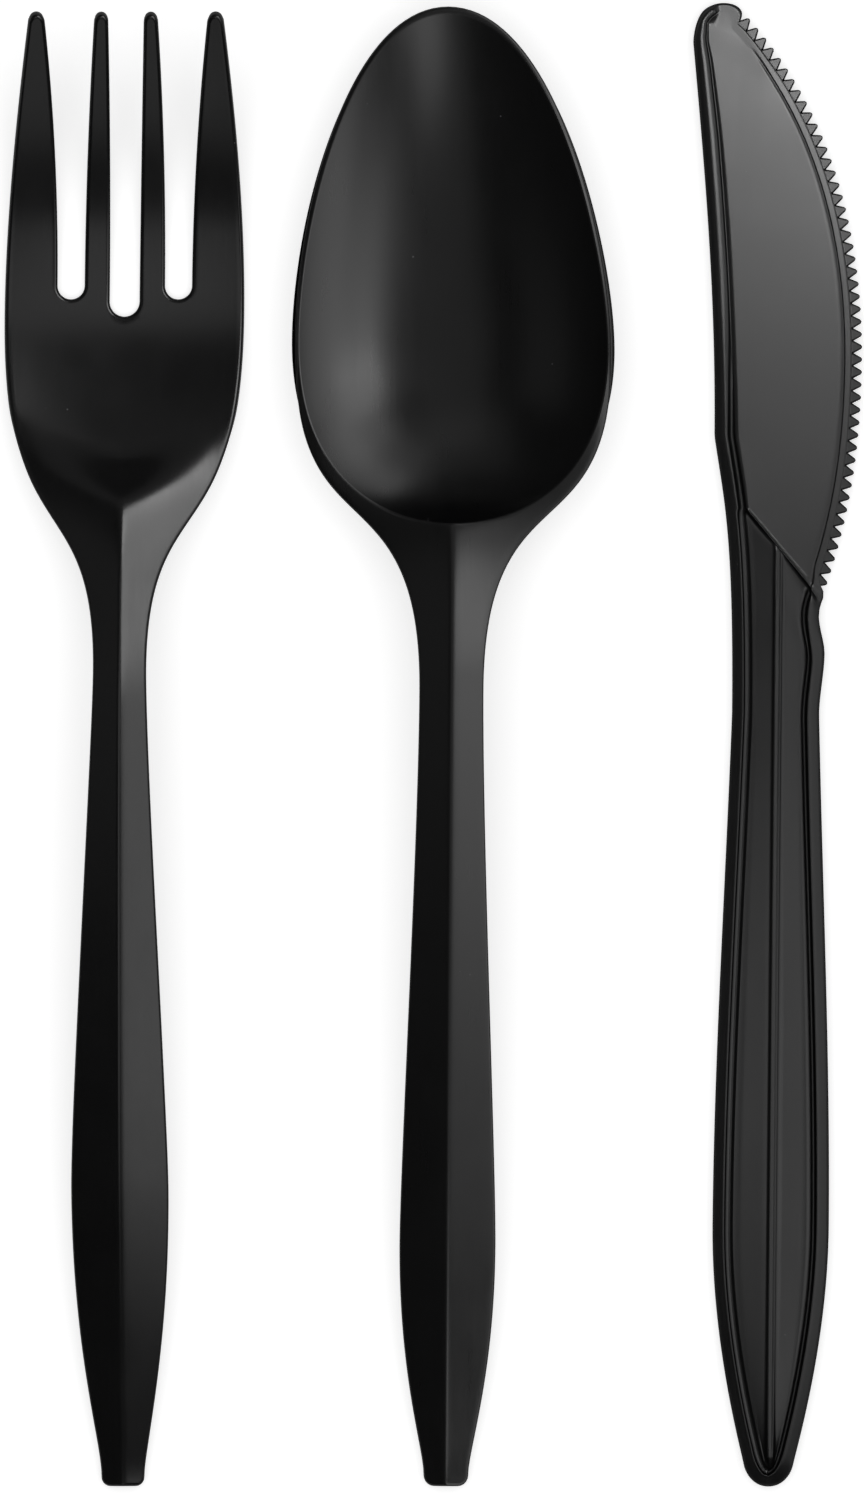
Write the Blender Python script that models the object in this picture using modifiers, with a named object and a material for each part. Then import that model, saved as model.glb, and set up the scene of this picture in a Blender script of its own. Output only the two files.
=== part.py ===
# Set of three moulded plastic cutlery pieces: a fork, a spoon and a toothed knife.
# Each piece is one moulding and one solid. None of them can stand unheld, so they
# lie side by side on the table plane z = 0, as they come to rest.
# Metres, +Z up. +Y runs from the handle ends to the tines, the bowl and the blade tip.
# Each piece is drawn with u across it and v along it, from the middle of its handle end.

import math

import bmesh
import bpy
from mathutils import Vector
from mathutils.geometry import interpolate_bezier

MM = 0.001

# Set
FORK_TO_SPOON_GAP = 5.7 * MM
SPOON_TO_KNIFE_GAP = 8.8 * MM
SPOON_LEAN = math.radians(0.4)
KNIFE_LEAN = math.radians(0.55)

# The side lines are curves. What is named pull, lead or taper is how far a curve's
# handle reaches, as a share of the stretch beside it.

# Fork and spoon sheet
SHEET = 1.3 * MM
SHEET_EDGE_ROUND = 0.35 * MM
ROOF_ANGLE = math.radians(23)
END_SLOPE = 0.115
GRIP_LEAD = 0.55
GRIP_TAPER = 0.15
END_LEAD = 0.2

# Fork
FORK_LENGTH = 163.4 * MM
FORK_HEAD_WIDTH = 26.5 * MM
FORK_NECK_WIDTH = 6.25 * MM
FORK_GRIP_WIDTH = 11.15 * MM
FORK_END_WIDTH = 5.1 * MM
FORK_END_RADIUS = 1.0 * MM
FORK_GRIP_AT = 33.0 * MM
FORK_NECK_AT = 91.0 * MM
FORK_HEAD_FROM_TIP = 33.1 * MM
FORK_ARCH_AT = 87.0 * MM
FORK_ARCH_HEIGHT = 9.8 * MM
FORK_BELLY_FROM_TIP = 31.0 * MM
FORK_TIP_HEIGHT = 12.0 * MM
FORK_TIP_SLOPE = 0.55
FORK_DISH = 0.7 * MM
OUTER_SLOT_DEPTH = 31.3 * MM
CENTRE_SLOT_DEPTH = 33.2 * MM
OUTER_TINE_WIDTH = 5.8 * MM
OUTER_TIP_WIDTH = 1.6 * MM
SLOT_WIDTH = 3.0 * MM
INNER_TINE_WIDTH = 2.8 * MM
INNER_TIP_WIDTH = 1.5 * MM
TIP_SPREAD = 21.3 * MM
TIP_ROUND = 0.6 * MM
INNER_TIP_SHIFT = 0.34 * MM
FORK_NECK_PULL = 0.52
FORK_HEAD_LOWER_PULL = 0.68
FORK_HEAD_UPPER_PULL = 0.36
FORK_TIP_PULL = 0.27
FORK_TIP_FLARE = 0.035
FORK_ROOF_END = 0.3
FORK_DISH_START = 0.45
SLOT_SEAM_END = 0.4

# Spoon
SPOON_LENGTH = 164.6 * MM
SPOON_BOWL_WIDTH = 35.7 * MM
SPOON_NECK_WIDTH = 7.45 * MM
SPOON_GRIP_WIDTH = 11.0 * MM
SPOON_END_WIDTH = 5.3 * MM
SPOON_END_RADIUS = 1.2 * MM
SPOON_GRIP_AT = 26.9 * MM
SPOON_NECK_AT = 88.6 * MM
SPOON_BOWL_FROM_TIP = 37.9 * MM
SPOON_ARCH_AT = 90.0 * MM
SPOON_ARCH_HEIGHT = 10.2 * MM
SPOON_RIM_HEIGHT = 8.0 * MM
SPOON_TIP_HEIGHT = 7.4 * MM
BOWL_RIM_WIDTH = 0.6 * MM
BOWL_INSIDE_LENGTH = 57.0 * MM
BOWL_BACK_LAND = 1.6 * MM
BOWL_FULLNESS = 2.1
BOWL_EDGE_SLOPE = -0.03
BACK_CORNER_SHARE = 0.85
SPOON_NECK_LOWER_PULL = 16.4 * MM
SPOON_NECK_UPPER_PULL = 0.66
SPOON_BOWL_LOWER_PULL = 0.62
SPOON_BOWL_UPPER_PULL = 0.33
SPOON_TIP_PULL = 0.66
INSIDE_BACK_PULL = 0.58
INSIDE_LOWER_PULL = 0.64
INSIDE_UPPER_PULL = 0.31
SPOON_ROOF_END = 0.2

# Knife
KNIFE_LENGTH = 165.0 * MM
KNIFE_GRIP_WIDTH = 12.95 * MM
KNIFE_GRIP_AT = 29.0 * MM
KNIFE_WAIST_WIDTH = 9.7 * MM
KNIFE_END_RADIUS = 2.75 * MM
WAIST_BUMP = 0.55 * MM
HANDLE_THICKNESS = 2.8 * MM
HANDLE_BAND = 1.6 * MM
HANDLE_EDGE_ROUND = 0.55 * MM
PANEL_EDGE_HEIGHT = 1.5 * MM
PANEL_RIDGE_HEIGHT = 1.95 * MM
PANEL_RIB_WIDTH = 0.9 * MM
PANEL_RIB_HEIGHT = 2.15 * MM
UNDERSIDE_DEPTH = 0.7 * MM
BOLSTER_LEFT_FROM_TIP = 56.2 * MM
BOLSTER_DROP = 10.5 * MM
HEEL_FROM_TIP = 64.5 * MM
WAIST_BELOW_HEEL = 14.5 * MM
SPINE_OFFSET = 7.1 * MM
SPINE_FROM_BOLSTER = 8.0 * MM
SPINE_TIP_OFFSET = 9.87 * MM
SPINE_ROUND_FROM_TIP = 4.5 * MM
TIP_ROUND_WIDTH = 1.9 * MM
SPINE_BEAD_WIDTH = 2.0 * MM
BLADE_BOTTOM = 0.72 * MM
BLADE_TOP = 2.2 * MM
EDGE_OFFSET = 9.25 * MM
EDGE_WIDEST_FROM_TIP = 39.5 * MM
EDGE_TOP_FROM_TIP = 1.7 * MM
EDGE_TOP_OFFSET = 3.66 * MM
HEEL_INSET = 3.65 * MM
STRIP_WIDTH = 2.05 * MM
STRIP_THICKNESS = 0.95 * MM
TOOTH_COUNT = 48
TOOTH_DEPTH = 1.05 * MM
VALLEY_THICKNESS = 0.75 * MM
TOOTH_TIP_WIDTH = 0.25 * MM
TOOTH_TIP_THICKNESS = 0.35 * MM
KNIFE_GRIP_LEAD = 0.45
SPINE_SLOPE = 0.1
SPINE_PULL = 0.35
SPINE_SHOULDER_PULL = 1.3
EDGE_TOP_RUN = 0.25
EDGE_TOP_PULL = 0.276
EDGE_SIDE_PULL = 0.36
HEEL_FLARE = 0.108
HEEL_PULL = 0.33

# What a cutter passes a face by, and what joined blocks share
CUT_OVERRUN = 1.0 * MM
JOIN_OVERLAP = 0.5 * MM
BOLSTER_LIP = 0.35 * MM


def clear_scene():
    for item in list(bpy.data.objects):
        bpy.data.objects.remove(item, do_unlink=True)


def make_collection(name):
    collection = bpy.data.collections.new(name)
    bpy.context.scene.collection.children.link(collection)
    return collection


def plastic(name, grey, roughness):
    material = bpy.data.materials.new(name)
    material.use_nodes = True
    shader = material.node_tree.nodes["Principled BSDF"]
    shader.inputs["Base Color"].default_value = (grey, grey, grey, 1)
    shader.inputs["Roughness"].default_value = roughness
    shader.inputs["Metallic"].default_value = 0
    return material


def curve_points(knots, steps):
    # knots are (point, handle before, handle after), each a (u, v) pair
    points = [Vector(knots[0][0])]
    for start, end in zip(knots, knots[1:]):
        piece = interpolate_bezier(start[0], start[2], end[1], end[0], steps + 1)
        points.extend(point.xy for point in piece[1:])
    return points


def width_rule(knots):
    # half width at v, read from an edge that runs along v
    edge = sorted(((p[1], p[0]) for p in curve_points(knots, 48)))

    def half_width(v):
        for (v0, u0), (v1, u1) in zip(edge, edge[1:]):
            if v0 <= v <= v1 and v1 > v0:
                return u0 + (u1 - u0) * (v - v0) / (v1 - v0)
        return edge[0][1] if v < edge[0][0] else edge[-1][1]
    return half_width


def profile_rule(knots):
    # height at v, through knots of (v, height, slope)
    def height(v):
        for (v0, z0, s0), (v1, z1, s1) in zip(knots, knots[1:]):
            if v <= v1:
                break
        span = v1 - v0
        t = min(max((v - v0) / span, 0), 1)
        rise = z0 * (2 * t ** 3 - 3 * t * t + 1) + z1 * (3 * t * t - 2 * t ** 3)
        return rise + span * (s0 * (t ** 3 - 2 * t * t + t) + s1 * (t ** 3 - t * t))
    return height


def blend(value, low, high):
    t = min(max((value - low) / (high - low), 0), 1)
    return t * t * (3 - 2 * t)


def spread(start, end, cells):
    return [start + (end - start) * i / cells for i in range(cells + 1)]


def sheet_object(name, patches, fans, collection, material):
    # A sheet of quads from grids of points, and fans that close a ring on its middle
    mesh = bmesh.new()
    for grid in patches:
        rows = [[mesh.verts.new(point) for point in row] for row in grid]
        for upper, lower in zip(rows, rows[1:]):
            for i in range(len(upper) - 1):
                mesh.faces.new((upper[i], lower[i], lower[i + 1], upper[i + 1]))
    for ring, middle in fans:
        hub = mesh.verts.new(middle)
        verts = [mesh.verts.new(point) for point in ring]
        for first, second in zip(verts, verts[1:]):
            mesh.faces.new((first, hub, second))
    bmesh.ops.remove_doubles(mesh, verts=mesh.verts, dist=0.001 * MM)
    bmesh.ops.recalc_face_normals(mesh, faces=mesh.faces)
    if sum(face.normal.z for face in mesh.faces) < 0:
        bmesh.ops.reverse_faces(mesh, faces=mesh.faces)
    data = bpy.data.meshes.new(name)
    mesh.to_mesh(data)
    mesh.free()
    sheet = bpy.data.objects.new(name, data)
    collection.objects.link(sheet)
    data.materials.append(material)
    wall = sheet.modifiers.new("wall", 'SOLIDIFY')
    wall.thickness = SHEET
    wall.offset = -1
    wall.use_even_offset = True
    rounding = sheet.modifiers.new("rounded edges", 'BEVEL')
    rounding.width = SHEET_EDGE_ROUND
    rounding.segments = 1
    rounding.limit_method = 'ANGLE'
    rounding.angle_limit = math.radians(60)
    data.shade_smooth()
    data.set_sharp_from_angle(angle=math.radians(40))
    return sheet


def end_rows(end_width, radius):
    # v and half width of the rows that round the corners of a handle's end
    half = end_width / 2
    rows = []
    for angle in (90, 45, 0):
        turn = math.radians(angle)
        rows.append((radius * (1 - math.sin(turn)), half - radius * (1 - math.cos(turn))))
    return rows


def handle_sides(end_width, end_radius, grip_at, grip_width, neck_at, neck_width):
    # the knots from the handle's end to its neck, which both sheet pieces share
    end, grip, neck = end_width / 2, grip_width / 2, neck_width / 2
    lead = grip_at * GRIP_LEAD
    taper = (neck_at - grip_at) * GRIP_TAPER
    return [((end, end_radius), (end, end_radius), (end, end_radius + lead * END_LEAD)),
            ((grip, grip_at), (grip, grip_at - lead), (grip, grip_at + taper)),
            ((neck, neck_at), (neck, neck_at - taper), (neck, neck_at))]


def make_fork(collection, material):
    half_head = FORK_HEAD_WIDTH / 2
    head_at = FORK_LENGTH - FORK_HEAD_FROM_TIP
    belly_at = FORK_LENGTH - FORK_BELLY_FROM_TIP
    outer_tip = TIP_SPREAD / 2
    to_head = head_at - FORK_NECK_AT
    knots = handle_sides(FORK_END_WIDTH, FORK_END_RADIUS, FORK_GRIP_AT, FORK_GRIP_WIDTH,
                         FORK_NECK_AT, FORK_NECK_WIDTH)
    knots[-1] = (knots[-1][0], knots[-1][1],
                 (FORK_NECK_WIDTH / 2, FORK_NECK_AT + to_head * FORK_NECK_PULL))
    to_tip = FORK_LENGTH - head_at
    knots.append(((half_head, head_at), (half_head, head_at - to_head * FORK_HEAD_LOWER_PULL),
                  (half_head, head_at + to_tip * FORK_HEAD_UPPER_PULL)))
    knots.append(((outer_tip, FORK_LENGTH),
                  (outer_tip + to_tip * FORK_TIP_FLARE, FORK_LENGTH - to_tip * FORK_TIP_PULL),
                  (outer_tip, FORK_LENGTH)))
    half_width = width_rule(knots)
    line = profile_rule([(0, SHEET, END_SLOPE), (FORK_ARCH_AT, FORK_ARCH_HEIGHT, 0),
                         (belly_at, SHEET, 0), (FORK_LENGTH, FORK_TIP_HEIGHT, FORK_TIP_SLOPE)])

    roof_start = belly_at - FORK_HEAD_FROM_TIP * FORK_DISH_START
    roof_full = FORK_NECK_AT + to_head * FORK_ROOF_END

    def surface(u, v):
        roof = 1 - blend(v, roof_full, roof_start)
        width = half_width(v)
        roof_height = min(width, FORK_GRIP_WIDTH / 2) * math.tan(ROOF_ANGLE)
        share = abs(u) / width
        crown = roof_height * max(1 - share, 0)
        return Vector((u, v, line(v) + crown * roof + FORK_DISH * share * share * (1 - roof)))

    # half gaps from the middle out: the edges of the tines, at the root and at the tip
    root_edges = [half_head - OUTER_TINE_WIDTH - SLOT_WIDTH - INNER_TINE_WIDTH,
                  half_head - OUTER_TINE_WIDTH - SLOT_WIDTH, half_head - OUTER_TINE_WIDTH]
    tip_middle = (root_edges[0] + root_edges[1]) / 2 - INNER_TIP_SHIFT
    tip_edges = [tip_middle - INNER_TIP_WIDTH / 2, tip_middle + INNER_TIP_WIDTH / 2,
                 outer_tip - OUTER_TIP_WIDTH]
    shallow_root = FORK_LENGTH - OUTER_SLOT_DEPTH
    deep_root = FORK_LENGTH - CENTRE_SLOT_DEPTH
    radii = [root_edges[0], SLOT_WIDTH / 2]
    centres = [deep_root + radii[0], shallow_root + radii[1]]
    diagonal = math.sin(math.radians(45))

    def seam(index, v):
        # the half gap of tine edge number index at v, carried on down the handle
        slot = 0 if index == 0 else 1
        middle = 0 if index == 0 else (root_edges[1] + root_edges[2]) / 2
        side = 1 if index in (0, 2) else -1
        centre, radius = centres[slot], radii[slot]
        if v >= centre:
            t = (v - centre) / (FORK_LENGTH - centre)
            return root_edges[index] + (tip_edges[index] - root_edges[index]) * t * t
        drop = min(centre - v, radius * diagonal)
        at_root = middle + side * math.sqrt(radius * radius - drop * drop)
        target = half_width(v) * at_root / half_head
        seam_end = head_at - to_head * SLOT_SEAM_END
        return at_root + (target - at_root) * blend(-v, radius - centre, -seam_end)

    tine_rows = spread(FORK_LENGTH - TIP_ROUND, centres[1], 6)
    halfway = math.sin(math.radians(22.5))
    root_rows = [centres[1] - radii[1] * halfway, centres[1] - radii[1] * diagonal, centres[0],
                 centres[0] - radii[0] * halfway, centres[0] - radii[0] * diagonal]
    lower_rows = (spread(root_rows[-1], FORK_NECK_AT, 10)[1:]
                  + spread(FORK_NECK_AT, FORK_END_RADIUS, 10)[1:])
    rows = tine_rows + root_rows + lower_rows
    angles = [math.radians(a) for a in (135, 90, 45)]
    share_u = [math.cos(a) / diagonal for a in angles]
    share_v = [(math.sin(a) - diagonal) / (1 - diagonal) for a in angles]

    def patch(left, right, stations, bulge, cap):
        # rows between two edges, the first ones bowed by bulge, under a rounded cap
        grid = []
        if cap:
            for angle in (45, 22.5):
                turn = math.radians(angle)
                v = FORK_LENGTH - TIP_ROUND * (1 - math.sin(turn))
                middle = (left(FORK_LENGTH) + right(FORK_LENGTH)) / 2
                half = (right(FORK_LENGTH) - left(FORK_LENGTH)) / 2 * math.cos(turn)
                grid.append((v, middle - half, middle + half))
        grid += [(v, left(v), right(v)) for v in stations]
        top = grid[0][0]
        reach = FORK_END_WIDTH
        points = []
        for v, low, high in grid:
            bow = bulge * max(1 - (top - v) / reach, 0)
            middle, half = (low + high) / 2, (high - low) / 2
            points.append([surface(middle + half * a, v + bow * b)
                           for a, b in zip(share_u, share_v)])
        return points

    tip_bulge = TIP_ROUND * (1 - diagonal)
    patches = []
    edge = [lambda v, k=k: seam(k, v) for k in range(3)] + [half_width]
    mirrored = [lambda v, k=k: -edge[k](v) for k in range(4)]
    patches.append(patch(edge[0], edge[1], rows, tip_bulge, True))
    patches.append(patch(edge[2], edge[3], rows, tip_bulge, True))
    patches.append(patch(mirrored[1], mirrored[0], rows, tip_bulge, True))
    patches.append(patch(mirrored[3], mirrored[2], rows, tip_bulge, True))
    outer_slot_rows = rows[rows.index(root_rows[1]):]
    centre_slot_rows = rows[rows.index(root_rows[4]):]
    outer_bulge = -radii[1] * (1 - diagonal)
    patches.append(patch(edge[1], edge[2], outer_slot_rows, outer_bulge, False))
    patches.append(patch(mirrored[2], mirrored[1], outer_slot_rows, outer_bulge, False))
    patches.append(patch(mirrored[0], edge[0], centre_slot_rows,
                         -radii[0] * (1 - diagonal), False))
    for grid in patches:
        last = grid[-1]
        for v, half in end_rows(FORK_END_WIDTH, FORK_END_RADIUS)[1::-1]:
            factor = half / (FORK_END_WIDTH / 2)
            grid.append([surface(point.x * factor, v) for point in last])
    return sheet_object("fork", patches, [], collection, material)


def make_spoon(collection, material):
    half_bowl = SPOON_BOWL_WIDTH / 2
    bowl_at = SPOON_LENGTH - SPOON_BOWL_FROM_TIP
    to_bowl = bowl_at - SPOON_NECK_AT
    to_tip = SPOON_LENGTH - bowl_at
    knots = handle_sides(SPOON_END_WIDTH, SPOON_END_RADIUS, SPOON_GRIP_AT, SPOON_GRIP_WIDTH,
                         SPOON_NECK_AT, SPOON_NECK_WIDTH)
    knots[-1] = (knots[-1][0], (SPOON_NECK_WIDTH / 2, SPOON_NECK_AT - SPOON_NECK_LOWER_PULL),
                 (SPOON_NECK_WIDTH / 2, SPOON_NECK_AT + to_bowl * SPOON_NECK_UPPER_PULL))
    knots.append(((half_bowl, bowl_at), (half_bowl, bowl_at - to_bowl * SPOON_BOWL_LOWER_PULL),
                  (half_bowl, bowl_at + to_tip * SPOON_BOWL_UPPER_PULL)))
    side_width = width_rule(knots)
    tip_arc = [knots[-1], ((0, SPOON_LENGTH), (half_bowl * SPOON_TIP_PULL, SPOON_LENGTH),
                           (0, SPOON_LENGTH))]

    inside_top = SPOON_LENGTH - BOWL_RIM_WIDTH
    inside_bottom = inside_top - BOWL_INSIDE_LENGTH
    half_inside = half_bowl - BOWL_RIM_WIDTH
    below = bowl_at - inside_bottom
    egg_knots = [((0, inside_bottom), (0, inside_bottom),
                  (half_inside * INSIDE_BACK_PULL, inside_bottom)),
                 ((half_inside, bowl_at), (half_inside, bowl_at - below * INSIDE_LOWER_PULL),
                  (half_inside, bowl_at + to_tip * INSIDE_UPPER_PULL)),
                 ((0, inside_top), (half_inside * SPOON_TIP_PULL, inside_top), (0, inside_top))]
    cut_at = inside_bottom - BOWL_BACK_LAND

    line = profile_rule([(0, SHEET, END_SLOPE), (SPOON_ARCH_AT, SPOON_ARCH_HEIGHT, 0),
                         (bowl_at, SPOON_RIM_HEIGHT, BOWL_EDGE_SLOPE),
                         (SPOON_LENGTH, SPOON_TIP_HEIGHT, 0)])

    def surface(u, v):
        roof_end = SPOON_NECK_AT + to_bowl * SPOON_ROOF_END
        roof = 1 - blend(v, roof_end, inside_bottom + BOWL_BACK_LAND)
        width = side_width(min(v, bowl_at))
        height = min(width, SPOON_GRIP_WIDTH / 2) * math.tan(ROOF_ANGLE)
        return Vector((u, v, line(v) + roof * height * max(1 - abs(u) / width, 0)))

    cells = 3
    side_cells = 16
    ring_shares = (0.95, 0.82, 0.66, 0.48, 0.3, 0.14)
    egg = curve_points(egg_knots, 24)
    outline = [Vector((side_width(v), v)) for v in spread(cut_at, bowl_at, 24)]
    outline += curve_points(tip_arc, 24)[1:]
    corner_u = side_width(cut_at)

    def along(points, share):
        # the point at a share of a polyline's length
        lengths = [(b - a).length for a, b in zip(points, points[1:])]
        left = share * sum(lengths)
        for a, b, length in zip(points, points[1:], lengths):
            if left <= length:
                return a.lerp(b, left / length)
            left -= length
        return points[-1]

    egg_length = sum((b - a).length for a, b in zip(egg, egg[1:]))
    back_share = BACK_CORNER_SHARE * corner_u / egg_length
    outer, inner = [], []
    for k in range(cells + 1):
        outer.append(Vector((corner_u * k / cells, cut_at)))
        inner.append(along(egg, back_share * k / cells))
    for k in range(1, side_cells + 1):
        share = k / side_cells
        outer.append(along(outline, share))
        inner.append(along(egg, back_share + (1 - back_share) * share))

    def whole(half):
        # a half loop from the back to the tip, closed round the left side
        mirrored = [Vector((-p.x, p.y)) for p in half[1:-1]]
        return half + mirrored[::-1] + [half[0]]

    outer_loop, inner_loop = whole(outer), whole(inner)
    lift = [surface(p.x, p.y) for p in inner_loop]
    band = [[surface(p.x, p.y) for p in outer_loop], lift]
    middle = Vector((0, bowl_at, SHEET))
    rings = [lift]
    for share in ring_shares:
        rings.append([Vector((p.x * share, bowl_at + (p.y - bowl_at) * share,
                              SHEET + (p.z - SHEET) * share ** BOWL_FULLNESS)) for p in lift])
    handle = []
    for v in spread(cut_at, SPOON_NECK_AT, 5) + spread(SPOON_NECK_AT, SPOON_END_RADIUS, 10)[1:]:
        handle.append([surface(side_width(v) * k / cells, v) for k in range(-cells, cells + 1)])
    for v, half in end_rows(SPOON_END_WIDTH, SPOON_END_RADIUS)[1::-1]:
        handle.append([surface(half * k / cells, v) for k in range(-cells, cells + 1)])
    return sheet_object("spoon", [band, rings, handle], [(rings[-1], middle)],
                        collection, material)


def offset_line(points, distance):
    # the line moved to its left by distance
    moved = []
    for i, point in enumerate(points):
        before, after = points[max(i - 1, 0)], points[min(i + 1, len(points) - 1)]
        run = (after - before).normalized()
        moved.append(point + distance * Vector((-run.y, run.x)))
    return moved


def plate(name, outline, bottom, top, collection):
    # a flat outline with a thickness, made from a filled curve
    curve = bpy.data.curves.new(name, 'CURVE')
    curve.dimensions = '2D'
    curve.fill_mode = 'BOTH'
    curve.extrude = (top - bottom) / 2
    spline = curve.splines.new('POLY')
    spline.points.add(len(outline) - 1)
    for item, point in zip(spline.points, outline):
        item.co = (point.x, point.y, 0, 1)
    spline.use_cyclic_u = True
    source = bpy.data.objects.new(name, curve)
    bpy.context.scene.collection.objects.link(source)
    view = bpy.context.evaluated_depsgraph_get()
    data = bpy.data.meshes.new_from_object(source.evaluated_get(view))
    bpy.data.objects.remove(source)
    mesh = bmesh.new()
    mesh.from_mesh(data)
    bmesh.ops.remove_doubles(mesh, verts=mesh.verts, dist=0.001 * MM)
    bmesh.ops.translate(mesh, verts=mesh.verts, vec=(0, 0, (top + bottom) / 2))
    bmesh.ops.recalc_face_normals(mesh, faces=mesh.faces)
    mesh.to_mesh(data)
    mesh.free()
    item = bpy.data.objects.new(name, data)
    collection.objects.link(item)
    return item


def round_edges(item, width):
    rounding = item.modifiers.new("rounded edges", 'BEVEL')
    rounding.width = width
    rounding.segments = 2
    rounding.limit_method = 'ANGLE'
    rounding.angle_limit = math.radians(60)


def as_tool(item):
    item.hide_render = True
    item.display_type = 'WIRE'
    return item


def combine(item, operation, tool):
    change = item.modifiers.new(operation.lower() + " " + tool.name, 'BOOLEAN')
    change.operation = operation
    change.solver = 'EXACT'
    change.object = as_tool(tool)


def roofed_block(name, left, right, edge_height, ridge_height, top, collection):
    # a block between two side lines, with a floor that rises to a ridge
    mesh = bmesh.new()
    loops = []
    for a, b in zip(left, right):
        ridge = (a + b) / 2
        section = [(a.x, a.y, edge_height), (ridge.x, ridge.y, ridge_height),
                   (b.x, b.y, edge_height), (b.x, b.y, top), (a.x, a.y, top)]
        loops.append([mesh.verts.new(point) for point in section])
    for first, second in zip(loops, loops[1:]):
        for i in range(len(first)):
            j = (i + 1) % len(first)
            mesh.faces.new((first[i], first[j], second[j], second[i]))
    mesh.faces.new(loops[0])
    mesh.faces.new(loops[-1])
    bmesh.ops.recalc_face_normals(mesh, faces=mesh.faces)
    data = bpy.data.meshes.new(name)
    mesh.to_mesh(data)
    mesh.free()
    item = bpy.data.objects.new(name, data)
    collection.objects.link(item)
    return item


def toothed_strip(name, edge, middle_height, collection):
    # the cutting strip: it thins from the blade's step to the tooth valleys, and
    # on to blunt tips that stand at an even pitch along the edge
    lengths = [(b - a).length for a, b in zip(edge, edge[1:])]
    pitch = sum(lengths) / TOOTH_COUNT

    def at(distance):
        left = distance
        for a, b, length in zip(edge, edge[1:], lengths):
            if left <= length:
                return a.lerp(b, left / length), (b - a).normalized()
            left -= length
        return edge[-1], (edge[-1] - edge[-2]).normalized()

    mesh = bmesh.new()

    def pair(point, thickness):
        return [mesh.verts.new((point.x, point.y, middle_height + side * thickness / 2))
                for side in (1, -1)]

    inner, valleys, tips = [], [], []
    for k in range(TOOTH_COUNT + 1):
        point, run = at(k * pitch)
        inward = Vector((run.y, -run.x))
        inner.append(pair(point + inward * (STRIP_WIDTH + JOIN_OVERLAP), STRIP_THICKNESS))
        valleys.append(pair(point + inward * TOOTH_DEPTH, VALLEY_THICKNESS))
    for k in range(TOOTH_COUNT):
        point, run = at((k + 0.5) * pitch)
        tips.append((pair(point - run * TOOTH_TIP_WIDTH / 2, TOOTH_TIP_THICKNESS),
                     pair(point + run * TOOTH_TIP_WIDTH / 2, TOOTH_TIP_THICKNESS)))

    def wall(first, second):
        mesh.faces.new((first[0], second[0], second[1], first[1]))

    for k in range(TOOTH_COUNT):
        near, far = tips[k]
        for side in (0, 1):
            mesh.faces.new([p[side] for p in (inner[k], inner[k + 1], valleys[k + 1], valleys[k])])
            mesh.faces.new([p[side] for p in (valleys[k], valleys[k + 1], far, near)])
        wall(inner[k], inner[k + 1])
        wall(valleys[k], near)
        wall(near, far)
        wall(far, valleys[k + 1])
    wall(inner[0], valleys[0])
    wall(inner[-1], valleys[-1])
    bmesh.ops.recalc_face_normals(mesh, faces=mesh.faces)
    data = bpy.data.meshes.new(name)
    mesh.to_mesh(data)
    mesh.free()
    item = bpy.data.objects.new(name, data)
    collection.objects.link(item)
    return item


def across_at(points, v):
    # u of a line that climbs in v
    for low, high in zip(points, points[1:]):
        if low.y <= v <= high.y and high.y > low.y:
            return low.x + (high.x - low.x) * (v - low.y) / (high.y - low.y)
    return points[0].x if v < points[0].y else points[-1].x


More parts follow.
